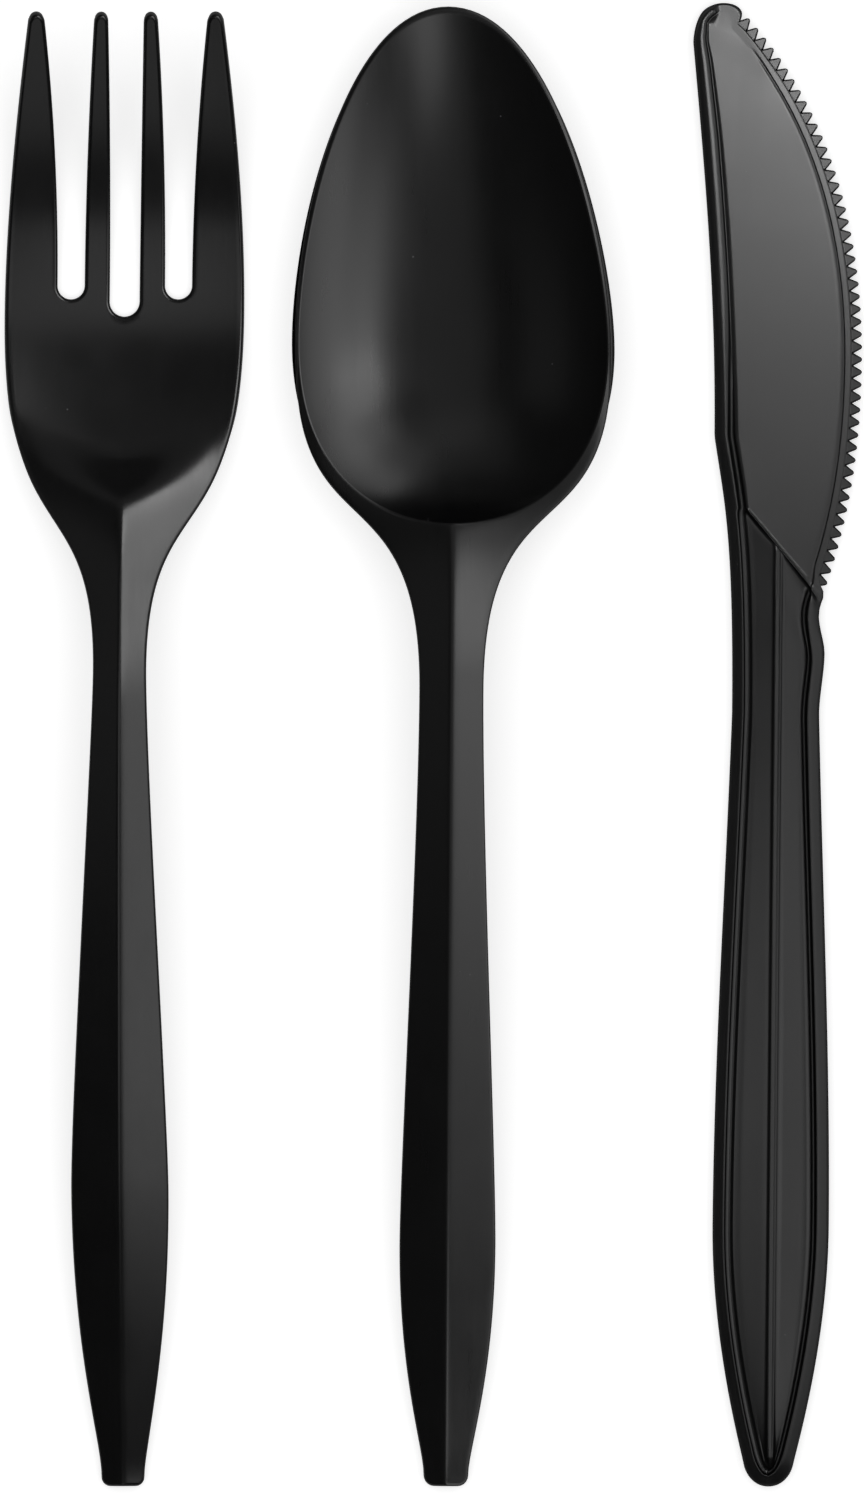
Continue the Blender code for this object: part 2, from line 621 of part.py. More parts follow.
def knife_lines():
    # right side of the handle up to the blade's heel, whole left side up to the
    # tip, and the cutting edge through the tooth tips from the tip to the heel
    grip, waist, radius = KNIFE_GRIP_WIDTH / 2, KNIFE_WAIST_WIDTH / 2, KNIFE_END_RADIUS
    heel = KNIFE_LENGTH - HEEL_FROM_TIP
    waist_at = heel - WAIST_BELOW_HEEL
    swell = KNIFE_GRIP_AT * KNIFE_GRIP_LEAD
    taper = (waist_at - KNIFE_GRIP_AT) / 3
    bump_at = (waist_at + heel) / 2 - WAIST_BUMP
    handle = [
        ((0, 0), (0, 0), (radius * 0.6, 0)),
        ((radius, radius * 0.88), (radius * 0.92, radius * 0.5), (radius * 1.12, radius * 1.5)),
        ((grip, KNIFE_GRIP_AT), (grip, KNIFE_GRIP_AT - swell), (grip, KNIFE_GRIP_AT + taper))]
    waist_knot = ((waist, waist_at), (waist + WAIST_BUMP, waist_at - taper))
    right = curve_points(handle + [
        waist_knot + ((waist, waist_at + 3 * WAIST_BUMP),),
        ((waist + WAIST_BUMP, bump_at), (waist + WAIST_BUMP, bump_at - 3 * WAIST_BUMP),
         (waist + WAIST_BUMP, bump_at + 3 * WAIST_BUMP)),
        ((waist, heel - 4 * WAIST_BUMP), (waist, heel - 7 * WAIST_BUMP),
         (waist, heel - 2 * WAIST_BUMP)),
        ((EDGE_OFFSET - HEEL_INSET - TOOTH_DEPTH, heel), (waist, heel - WAIST_BUMP),
         (0, 0))], 5)
    spine_at = KNIFE_LENGTH - BOLSTER_LEFT_FROM_TIP + SPINE_FROM_BOLSTER
    shoulder = (spine_at - waist_at) / 2
    round_at = KNIFE_LENGTH - SPINE_ROUND_FROM_TIP
    spine_pull = (round_at - spine_at) * SPINE_PULL
    left = curve_points(handle + [
        waist_knot + ((waist, waist_at + shoulder * SPINE_SHOULDER_PULL),),
        ((SPINE_OFFSET, spine_at), ((waist + SPINE_OFFSET) / 2, spine_at - shoulder / 2),
         (SPINE_OFFSET, spine_at + shoulder)),
        ((SPINE_TIP_OFFSET, round_at),
         (SPINE_TIP_OFFSET - SPINE_SLOPE * spine_pull, round_at - spine_pull),
         (SPINE_TIP_OFFSET, round_at + SPINE_ROUND_FROM_TIP / 2)),
        ((SPINE_TIP_OFFSET - TIP_ROUND_WIDTH, KNIFE_LENGTH),
         (SPINE_TIP_OFFSET - TIP_ROUND_WIDTH / 4, KNIFE_LENGTH), (0, 0))], 8)
    left = [Vector((-p.x, p.y)) for p in left]
    top = Vector((-EDGE_TOP_OFFSET, KNIFE_LENGTH - EDGE_TOP_FROM_TIP))
    widest_at = KNIFE_LENGTH - EDGE_WIDEST_FROM_TIP
    upper, lower = top.y - widest_at, widest_at - heel
    heel_u = EDGE_OFFSET - HEEL_INSET
    edge = curve_points([
        (top, (0, 0), (top.x + upper * EDGE_TOP_RUN, top.y - upper * EDGE_TOP_PULL)),
        ((EDGE_OFFSET, widest_at), (EDGE_OFFSET, widest_at + upper * EDGE_SIDE_PULL),
         (EDGE_OFFSET, widest_at - lower * EDGE_SIDE_PULL)),
        ((heel_u, heel), (heel_u + lower * HEEL_FLARE, heel + lower * HEEL_PULL), (0, 0))], 24)
    return right, left, [Vector(p) for p in edge]


def make_knife(collection, cutters, material):
    right, left, edge = knife_lines()
    waist = KNIFE_WAIST_WIDTH / 2
    bolster_left_at = KNIFE_LENGTH - BOLSTER_LEFT_FROM_TIP
    bolster_start = HANDLE_BAND - waist
    step = offset_line(edge, -STRIP_WIDTH)

    def bolster(u):
        # v of the slanted step between the handle's panel and the blade
        return bolster_left_at - BOLSTER_DROP * (u - bolster_start) / (waist - bolster_start)

    # one outline up to the blade's step line, as thick as the handle's edge band
    flat_end = -EDGE_TOP_OFFSET - TIP_ROUND_WIDTH
    tip_corner = [Vector((flat_end, KNIFE_LENGTH)),
                  Vector((flat_end + TIP_ROUND_WIDTH / 2, KNIFE_LENGTH - EDGE_TOP_FROM_TIP / 2))]
    outline = right + step[::-1] + tip_corner[::-1] + left[:0:-1]
    knife = plate("knife", outline, 0, HANDLE_THICKNESS, collection)
    knife.data.materials.append(material)
    round_edges(knife, HANDLE_EDGE_ROUND)

    # panel in the handle, over and under
    band_left = offset_line(left, -HANDLE_BAND)
    band_right = offset_line(right, HANDLE_BAND)
    panel_left, panel_right = [], []
    waist_at = KNIFE_LENGTH - HEEL_FROM_TIP - WAIST_BELOW_HEEL
    stations = spread(KNIFE_END_RADIUS, waist_at, 12)
    stations += spread(waist_at, bolster_left_at, 6)[1:]
    for v in stations:
        for line, panel in ((band_left, panel_left), (band_right, panel_right)):
            u = across_at(line, v)
            panel.append(Vector((u, min(v, bolster(u)))))
    pocket = roofed_block("panel_recess", panel_left, panel_right, PANEL_EDGE_HEIGHT,
                          PANEL_RIDGE_HEIGHT, HANDLE_THICKNESS + CUT_OVERRUN, cutters)
    combine(knife, 'DIFFERENCE', pocket)
    underside = plate("underside_recess", panel_right + panel_left[::-1], -CUT_OVERRUN,
                      UNDERSIDE_DEPTH, cutters)
    combine(knife, 'DIFFERENCE', underside)
    rib_end = bolster(0) + JOIN_OVERLAP
    rib_half = PANEL_RIB_WIDTH / 2
    rib_outline = [Vector((-rib_half, KNIFE_END_RADIUS - JOIN_OVERLAP)),
                   Vector((rib_half, KNIFE_END_RADIUS - JOIN_OVERLAP)),
                   Vector((rib_half, rib_end)), Vector((-rib_half, rib_end))]
    rib = plate("panel_rib", rib_outline, PANEL_EDGE_HEIGHT - JOIN_OVERLAP / 2,
                PANEL_RIB_HEIGHT, cutters)
    combine(knife, 'UNION', rib)

    # blade faces, cut down on both sides beside the spine bead
    round_at = KNIFE_LENGTH - SPINE_ROUND_FROM_TIP
    bead_line = [p for p, spine in zip(offset_line(left, -SPINE_BEAD_WIDTH), left)
                 if bolster(p.x) + 2 * BOLSTER_LIP < p.y and spine.y < round_at]
    outer = EDGE_OFFSET + CUT_OVERRUN
    face = [Vector((outer, bolster(outer) + BOLSTER_LIP)),
            Vector((outer, KNIFE_LENGTH + CUT_OVERRUN)),
            Vector((bead_line[-1].x + TIP_ROUND_WIDTH, KNIFE_LENGTH + CUT_OVERRUN))]
    face += bead_line[::-1]
    face.append(Vector((bead_line[0].x, bolster(bead_line[0].x) + BOLSTER_LIP)))
    for name, bottom, top in (("blade_face_top", BLADE_TOP, HANDLE_THICKNESS + CUT_OVERRUN),
                              ("blade_face_bottom", -CUT_OVERRUN, BLADE_BOTTOM)):
        combine(knife, 'DIFFERENCE', plate(name, face, bottom, top, cutters))

    strip = toothed_strip("cutting_strip", edge, (BLADE_BOTTOM + BLADE_TOP) / 2, cutters)
    combine(knife, 'UNION', strip)
    return knife


def lay_out(fork, spoon, knife):
    # Side by side with their handle ends in line, centred on the set's own axis
    set_frame = bpy.data.objects.new("set_frame", None)
    bpy.context.scene.collection.objects.link(set_frame)
    spoon_swing = math.sin(SPOON_LEAN) * (SPOON_LENGTH - SPOON_BOWL_FROM_TIP)
    spine_swing = math.sin(KNIFE_LEAN) * (KNIFE_LENGTH - SPINE_ROUND_FROM_TIP)
    edge_swing = math.sin(KNIFE_LEAN) * (KNIFE_LENGTH - EDGE_WIDEST_FROM_TIP)
    fork_at = FORK_HEAD_WIDTH / 2
    bowl_left = FORK_HEAD_WIDTH + FORK_TO_SPOON_GAP
    spoon_at = bowl_left + SPOON_BOWL_WIDTH / 2 - spoon_swing
    spine_left = bowl_left + SPOON_BOWL_WIDTH + SPOON_TO_KNIFE_GAP
    knife_at = spine_left + SPINE_TIP_OFFSET - spine_swing
    middle = (knife_at + EDGE_OFFSET + edge_swing) / 2
    handle_ends = -max(FORK_LENGTH, SPOON_LENGTH, KNIFE_LENGTH) / 2
    for item, across, lean in ((fork, fork_at, 0), (spoon, spoon_at, SPOON_LEAN),
                               (knife, knife_at, KNIFE_LEAN)):
        item.parent = set_frame
        item.location = (across - middle, handle_ends, 0)
        item.rotation_euler = (0, 0, -lean)


def main():
    clear_scene()
    parts = make_collection("cutlery_pack")
    cutters = make_collection("cutters")
    fork = make_fork(parts, plastic("fork_plastic", 0.015, 0.3))
    spoon = make_spoon(parts, plastic("spoon_plastic", 0.015, 0.3))
    knife = make_knife(parts, cutters, plastic("knife_plastic", 0.016, 0.28))
    lay_out(fork, spoon, knife)
    for tool in cutters.objects:
        tool.parent = knife


main()
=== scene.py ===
import math
from bisect import bisect_right

import bmesh
import bpy
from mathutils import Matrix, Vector
from mathutils.geometry import interpolate_bezier


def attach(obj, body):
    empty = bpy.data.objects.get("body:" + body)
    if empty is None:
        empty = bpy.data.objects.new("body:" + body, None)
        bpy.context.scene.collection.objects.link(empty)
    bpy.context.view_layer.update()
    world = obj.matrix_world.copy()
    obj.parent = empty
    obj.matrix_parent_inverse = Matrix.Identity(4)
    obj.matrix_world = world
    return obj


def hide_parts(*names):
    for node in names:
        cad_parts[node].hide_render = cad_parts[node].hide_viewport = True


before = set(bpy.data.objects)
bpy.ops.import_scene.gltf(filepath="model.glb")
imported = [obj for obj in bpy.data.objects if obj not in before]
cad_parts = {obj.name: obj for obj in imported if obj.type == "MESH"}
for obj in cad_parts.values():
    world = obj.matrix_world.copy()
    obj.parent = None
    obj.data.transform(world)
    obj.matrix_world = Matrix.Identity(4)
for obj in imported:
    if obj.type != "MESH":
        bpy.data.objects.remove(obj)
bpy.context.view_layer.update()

# Black moulded fork, spoon and toothed knife, side by side on the table plane.
# Every size below is in millimetres; u runs across a piece, v from its handle end.
mm = 0.001


# Curves, rules and small helpers

def curvePoints(knots, steps):
    # each knot is (point, handle before, handle after)
    points = [Vector(knots[0][0])]
    for start, end in zip(knots, knots[1:]):
        piece = interpolate_bezier(start[0], start[2], end[1], end[0], steps + 1)
        points += [point.xy for point in piece[1:]]
    return points


def lineRule(pairs):
    # straight lines through (v, value) pairs
    pairs = sorted(pairs)
    keys = [pair[0] for pair in pairs]

    def value(v):
        k = min(max(bisect_right(keys, v), 1), len(keys) - 1)
        (v0, a), (v1, b) = pairs[k - 1], pairs[k]
        t = min(max((v - v0) / max(v1 - v0, 1e-9), 0), 1)
        return a + (b - a) * t
    return value


def widthRule(knots):
    return lineRule([(p[1], p[0]) for p in curvePoints(knots, 90)])


def heightRule(knots):
    # smooth height through (v, height, slope)
    def height(v):
        for (v0, z0, s0), (v1, z1, s1) in zip(knots, knots[1:]):
            if v <= v1:
                break
        span = v1 - v0
        t = min(max((v - v0) / span, 0), 1)
        rise = z0 * (2 * t ** 3 - 3 * t * t + 1) + z1 * (3 * t * t - 2 * t ** 3)
        return rise + span * (s0 * (t ** 3 - 2 * t * t + t) + s1 * (t ** 3 - t * t))
    return height


def ease(value, low, high):
    t = min(max((value - low) / (high - low), 0), 1)
    return t * t * (3 - 2 * t)


def spread(start, end, cells):
    return [start + (end - start) * i / cells for i in range(cells + 1)]


def softAbs(value, rounding):
    return math.sqrt(value * value + rounding * rounding) - rounding


def along(points, share):
    # the point at a share of a line's length
    lengths = [(b - a).length for a, b in zip(points, points[1:])]
    left = share * sum(lengths)
    for a, b, length in zip(points, points[1:], lengths):
        if left <= length:
            return a.lerp(b, left / max(length, 1e-9))
        left -= length
    return points[-1].copy()


def offsetLine(points, distance):
    # the line moved to its left
    moved = []
    for i, point in enumerate(points):
        before, after = points[max(i - 1, 0)], points[min(i + 1, len(points) - 1)]
        run = (after - before).normalized()
        moved.append(point + distance * Vector((-run.y, run.x)))
    return moved


# Where the pieces lie
layout = {
    "forkToSpoon": 5.7, "spoonToKnife": 8.8, "spoonLean": 0.4, "knifeLean": 0.55,
    "forkLength": 163.4, "spoonLength": 164.6, "knifeLength": 165.0,
    "headWidth": 26.5, "bowlWidth": 35.7, "bowlFromTip": 37.9,
    "spineTip": 9.87, "spineRound": 4.5, "edgeOut": 9.25, "edgeFromTip": 39.5}


def places(s):
    # each piece's place function, from its own u, v and height to the table's frame
    spoonSwing = math.sin(math.radians(s["spoonLean"])) * (s["spoonLength"] - s["bowlFromTip"])
    lean = math.sin(math.radians(s["knifeLean"]))
    bowlLeft = s["headWidth"] + s["forkToSpoon"]
    spineLeft = bowlLeft + s["bowlWidth"] + s["spoonToKnife"]
    knifeAt = spineLeft + s["spineTip"] - lean * (s["knifeLength"] - s["spineRound"])
    middle = (knifeAt + s["edgeOut"] + lean * (s["knifeLength"] - s["edgeFromTip"])) / 2
    ends = -max(s["forkLength"], s["spoonLength"], s["knifeLength"]) / 2

    def place(across, angle):
        c, n = math.cos(math.radians(angle)), math.sin(math.radians(angle))

        def put(u, v, z):
            return Vector((across - middle + u * c + v * n, ends - u * n + v * c, z)) * mm
        return put
    return (place(s["headWidth"] / 2, 0),
            place(bowlLeft + s["bowlWidth"] / 2 - spoonSwing, s["spoonLean"]),
            place(knifeAt, s["knifeLean"]))


putFork, putSpoon, putKnife = places(layout)


# Meshes

def addPiece(name, mesh, material):
    data = bpy.data.meshes.new(name)
    mesh.to_mesh(data)
    mesh.free()
    data.materials.append(material)
    data.shade_smooth()
    piece = bpy.data.objects.new(name, data)
    bpy.context.scene.collection.objects.link(piece)
    return piece


def addGrid(mesh, grid):
    rows = [[mesh.verts.new(point) for point in row] for row in grid]
    for upper, lower in zip(rows, rows[1:]):
        for i in range(len(upper) - 1):
            mesh.faces.new((upper[i], lower[i], lower[i + 1], upper[i + 1]))
    return rows


def weldUpward(mesh):
    bmesh.ops.remove_doubles(mesh, verts=mesh.verts, dist=0.002 * mm)
    bmesh.ops.recalc_face_normals(mesh, faces=mesh.faces)
    if sum(face.normal.z * face.calc_area() for face in mesh.faces) < 0:
        bmesh.ops.reverse_faces(mesh, faces=mesh.faces)
    mesh.normal_update()


def thicken(mesh, wall, radius, steps):
    # gives an open sheet its wall, with a rounded rim round every open edge
    top = list(mesh.verts)
    faces = list(mesh.faces)
    normals = {v: v.normal.copy() for v in top}
    bottom = {v: mesh.verts.new(v.co - normals[v] * wall) for v in top}
    outward = {}
    rim = [e for e in mesh.edges if len(e.link_faces) == 1]
    for edge in rim:
        a, b = edge.verts
        away = (b.co - a.co).cross(normals[a] + normals[b]).normalized()
        face = edge.link_faces[0]
        if away.dot(face.calc_center_median() - a.co) > 0:
            away = -away
        for v in (a, b):
            outward[v] = outward.get(v, Vector()) + away
    for face in faces:
        mesh.faces.new([bottom[v] for v in reversed(face.verts)])
    rings = {}
    for v, away in outward.items():
        n = normals[v]
        away = (away - n * away.dot(n)).normalized()
        column = [v]
        for side in (0, 1):
            for k in range(1, steps + 1) if side == 0 else range(steps, 0, -1):
                turn = math.pi / 2 * k / steps
                out = away * (radius * math.sin(turn))
                down = radius * (1 - math.cos(turn))
                depth = down if side == 0 else wall - down
                column.append(mesh.verts.new(v.co + out - n * depth))
        column.append(bottom[v])
        rings[v] = column
    for edge in rim:
        loop = next(item for item in edge.link_faces[0].loops if item.edge == edge)
        a, b = loop.vert, loop.link_loop_next.vert
        for k in range(len(rings[a]) - 1):
            mesh.faces.new((rings[b][k], rings[a][k], rings[a][k + 1], rings[b][k + 1]))


# Shader maths: a socket that takes Python's operators

class Sock:
    def __init__(self, tree, socket):
        self.tree, self.socket = tree, socket

    def join(self, operation, first, second):
        return addNode(self.tree, "ShaderNodeMath", {"operation": operation}, [first, second])

    def __add__(self, other): return self.join("ADD", self, other)
    def __radd__(self, other): return self.join("ADD", other, self)
    def __sub__(self, other): return self.join("SUBTRACT", self, other)
    def __mul__(self, other): return self.join("MULTIPLY", self, other)


def plug(tree, socket, value):
    if isinstance(value, Sock):
        tree.links.new(value.socket, socket)
    else:
        socket.default_value = value


def addNode(tree, kind, settings, values, output=0):
    # settings come first, then values by position in a list or by name in a dictionary
    node = tree.nodes.new(kind)
    for key, value in settings.items():
        setattr(node, key, value)
    pairs = values.items() if isinstance(values, dict) else enumerate(values)
    for key, value in pairs:
        plug(tree, node.inputs[key], value)
    return Sock(tree, node.outputs[output])


def newMaterial(name):
    material = bpy.data.materials.new(name)
    material.use_nodes = True
    tree = material.node_tree
    tree.nodes.clear()
    out = tree.nodes.new("ShaderNodeOutputMaterial")
    return material, tree, out


# the plastic's marks: how many to the metre each way, where they start and end, how deep they are
marks = {
    "flow": (2600, 55, 900), "cloud": (190, 120, 190), "grain": (9000, 9000, 9000),
    "dots": (420, 420, 420), "dotSize": (0.03, 0.055), "dotPatches": (0.56, 0.6),
    "dotGrey": (0.09, 0.09, 0.095, 1), "dotRough": 0.25, "toneRange": (0.3, 0.7),
    "darkTone": (0.8, 0.8, 0.82), "lightTone": (1.25, 1.25, 1.3), "flowDepth": 0.00004,
    "grainDepth": 0.00001, "steepShade": (0.36, 0.66)}


def mouldedPlastic(name, look):
    # glossy black styrene: faint flow lines along the piece, fine grain, dust specks, and painted
    # shade on the steep walls
    material, tree, out = newMaterial(name)
    place = addNode(tree, "ShaderNodeTexCoord", {}, {}, "Object")

    def pattern(kind, scale, settings, values, output=0):
        moved = addNode(tree, "ShaderNodeMapping", {},
                        {"Vector": place, "Scale": scale,
                         "Rotation": (0, 0, math.radians(look["lean"]))})
        return addNode(tree, kind, settings, {"Vector": moved, "Scale": 1, **values}, output)

    def noise(scale, detail, roughness):
        return pattern("ShaderNodeTexNoise", scale, {}, {"Detail": detail, "Roughness": roughness})

    def mapped(value, ends, start=0, end=1, kind='LINEAR'):
        return addNode(tree, "ShaderNodeMapRange", {"interpolation_type": kind},
                       {"Value": value, "From Min": ends[0], "From Max": ends[1],
                        "To Min": start, "To Max": end})

    def mixed(share, first, second):
        return addNode(tree, "ShaderNodeMix", {"data_type": 'RGBA'},
                       {0: share, 6: first, 7: second}, 2)

    def tinted(tone):
        return tuple(look["base"] * part for part in tone) + (1,)

    flow = noise(marks["flow"], 3, 0.6)
    cloud = noise(marks["cloud"], 4, 0.55)
    grain = noise(marks["grain"], 2, 0.5)
    dots = pattern("ShaderNodeTexVoronoi", marks["dots"], {"feature": 'F1'}, {"Randomness": 1},
                   "Distance")
    dust = (mapped(dots, marks["dotSize"], 1, 0, 'SMOOTHSTEP')
            * mapped(cloud, marks["dotPatches"]) * look["dust"])
    tone = mapped(cloud * 0.6 + flow * 0.4, marks["toneRange"])
    colour = mixed(tone, tinted(marks["darkTone"]), tinted(marks["lightTone"]))
    colour = mixed(dust, colour, marks["dotGrey"])
    rough = (look["rough"] + (cloud - 0.5) * look["roughCloud"] + (flow - 0.5) * look["roughFlow"]
             + dust * marks["dotRough"])
    lines = addNode(tree, "ShaderNodeBump", {}, {"Strength": look["flowBump"],
                                                 "Distance": marks["flowDepth"], "Height": flow})
    fine = addNode(tree, "ShaderNodeBump", {},
                   {"Strength": look["grainBump"], "Distance": marks["grainDepth"],
                    "Height": grain + dust, "Normal": lines})
    shader = addNode(tree, "ShaderNodeBsdfPrincipled", {},
                     {"Base Color": colour, "Roughness": rough, "Normal": fine,
                      "IOR": look["ior"]})
    # painted shade: the steep walls swap part of their gloss for a dark diffuse by how far they
    # face away from up, so they show no reflection and read darker than the faces that look up
    facing = addNode(tree, "ShaderNodeNewGeometry", {}, {}, "Normal")
    upright = addNode(tree, "ShaderNodeSeparateXYZ", {}, [facing], "Z")
    steepShade = mapped(upright * upright, marks["steepShade"], look["wallPaintedShade"], 0, 'SMOOTHSTEP')
    wall = addNode(tree, "ShaderNodeBsdfDiffuse", {}, {"Color": colour})
    plug(tree, out.inputs["Surface"],
         addNode(tree, "ShaderNodeMixShader", {}, [steepShade, shader, wall]))
    return material


# wallPaintedShade: the share of painted shade, a dark diffuse in place of gloss, on the steep walls
plastic = {"base": 0.002, "roughFlow": 0.05, "dust": 0.5, "ior": 1.59, "wallPaintedShade": 0.75}
forkLook = {**plastic, "rough": 0.24, "roughCloud": 0.1, "flowBump": 0.1, "grainBump": 0.12,
            "lean": 0}
spoonLook = {**plastic, "rough": 0.29, "roughCloud": 0.08, "flowBump": 0.08, "grainBump": 0.1,
             "lean": layout["spoonLean"]}
knifeLook = {**plastic, "base": 0.003, "rough": 0.3, "roughCloud": 0.08, "roughFlow": 0.04,
             "flowBump": 0.02, "grainBump": 0.15, "dust": 0.4, "wallPaintedShade": 0.9,
             "lean": layout["knifeLean"]}
forkPlastic = mouldedPlastic("forkPlastic", forkLook)
spoonPlastic = mouldedPlastic("spoonPlastic", spoonLook)
knifePlastic = mouldedPlastic("knifePlastic", knifeLook)
print("materials made")


# The sides that fork and spoon share, from the handle's end to the neck
sheet = {"wall": 1.3, "edge": 0.42, "edgeSteps": 5, "roofAngle": 23, "endSlope": 0.115,
         "ridgeRound": 0.3, "roofBend": 4.2}


def handleSides(s):
    end, grip, neck = s["endWidth"] / 2, s["gripWidth"] / 2, s["neckWidth"] / 2
    radius = s["endRadius"]
    lead = s["gripAt"] * 0.55
    taper = (s["neckAt"] - s["gripAt"]) * 0.15
    return [((end, radius), (end, radius), (end, radius + lead * 0.2)),
            ((grip, s["gripAt"]), (grip, s["gripAt"] - lead), (grip, s["gripAt"] + taper)),
            ((neck, s["neckAt"]), (neck, s["neckAt"] - taper), (neck, s["neckAt"]))]


def insetWidth(halfWidth, inset):
    # the half width less the rim's rounding, which is measured square to the outline
    def width(v):
        lean = (halfWidth(v + 0.2) - halfWidth(v - 0.2)) / 0.4
        return halfWidth(v) - inset * math.sqrt(1 + min(lean * lean, 2.5))
    return width


def roofHeight(s, v, width, share):
    # height of the handle's roof over its sides; above the neck it stops growing softly
    cap, bend = s["gripWidth"] / 2, sheet["roofBend"]
    full = width
    if v > s["neckAt"] and width > bend:
        full = bend + (cap - bend) * (1 - math.exp((bend - width) / (cap - bend)))
    slope = math.tan(math.radians(sheet["roofAngle"]))
    return full * (1 - softAbs(share, sheet["ridgeRound"] / width)) * slope


def endCorner(half, radius, inset):
    # v and half width down the rounded corner of a handle's end
    rows = []
    steps = sheet["edgeSteps"]
    for k in range(1, steps + 1):
        turn = math.pi / 2 * k / steps
        reach = radius - inset
        rows.append((inset + reach * (1 - math.sin(turn)),
                     half - inset - reach * (1 - math.cos(turn))))
    return rows


# Fork
forkSizes = {
    "length": layout["forkLength"], "headWidth": layout["headWidth"], "neckWidth": 6.25,
    "gripWidth": 11.15, "endWidth": 5.1, "endRadius": 1.0, "gripAt": 33.0, "neckAt": 91.0,
    "headFromTip": 33.1, "archAt": 87.0, "archHeight": 9.8, "bellyFromTip": 31.0,
    "tipHeight": 12.0, "tipSlope": 0.55, "dish": 0.7, "outerSlot": 31.3, "centreSlot": 33.2,
    "outerTine": 5.8, "outerTip": 1.6, "slot": 3.0, "innerTine": 2.8, "innerTip": 1.5,
    "tipSpread": 21.3, "tipRound": 0.55, "neckPull": 0.52, "headPulls": (0.68, 0.36),
    "tipPull": 0.27, "tipFlare": 0.035, "tineLean": 0.12, "seamFade": 0.4,
    "facetTop": 115.6, "facetRise": 4.8, "facetRun": 7.0, "facetBow": 1.3,
    "bow": [(0, 0, 0), (5, 0, -0.012), (18.5, -0.17, -0.01), (48, -0.35, 0), (82, -0.33, 0.004),
            (122, 0.06, 0.012), (163.4, 0.46, 0.004)],
    "tineCells": 8, "tineRows": 46, "rootRows": 6, "headRows": 56, "handleRows": 110,
    "ridgeColumns": (0.03, 0.06, 0.09, 0.13, 0.2), "capTurns": (45, 30, 15)}


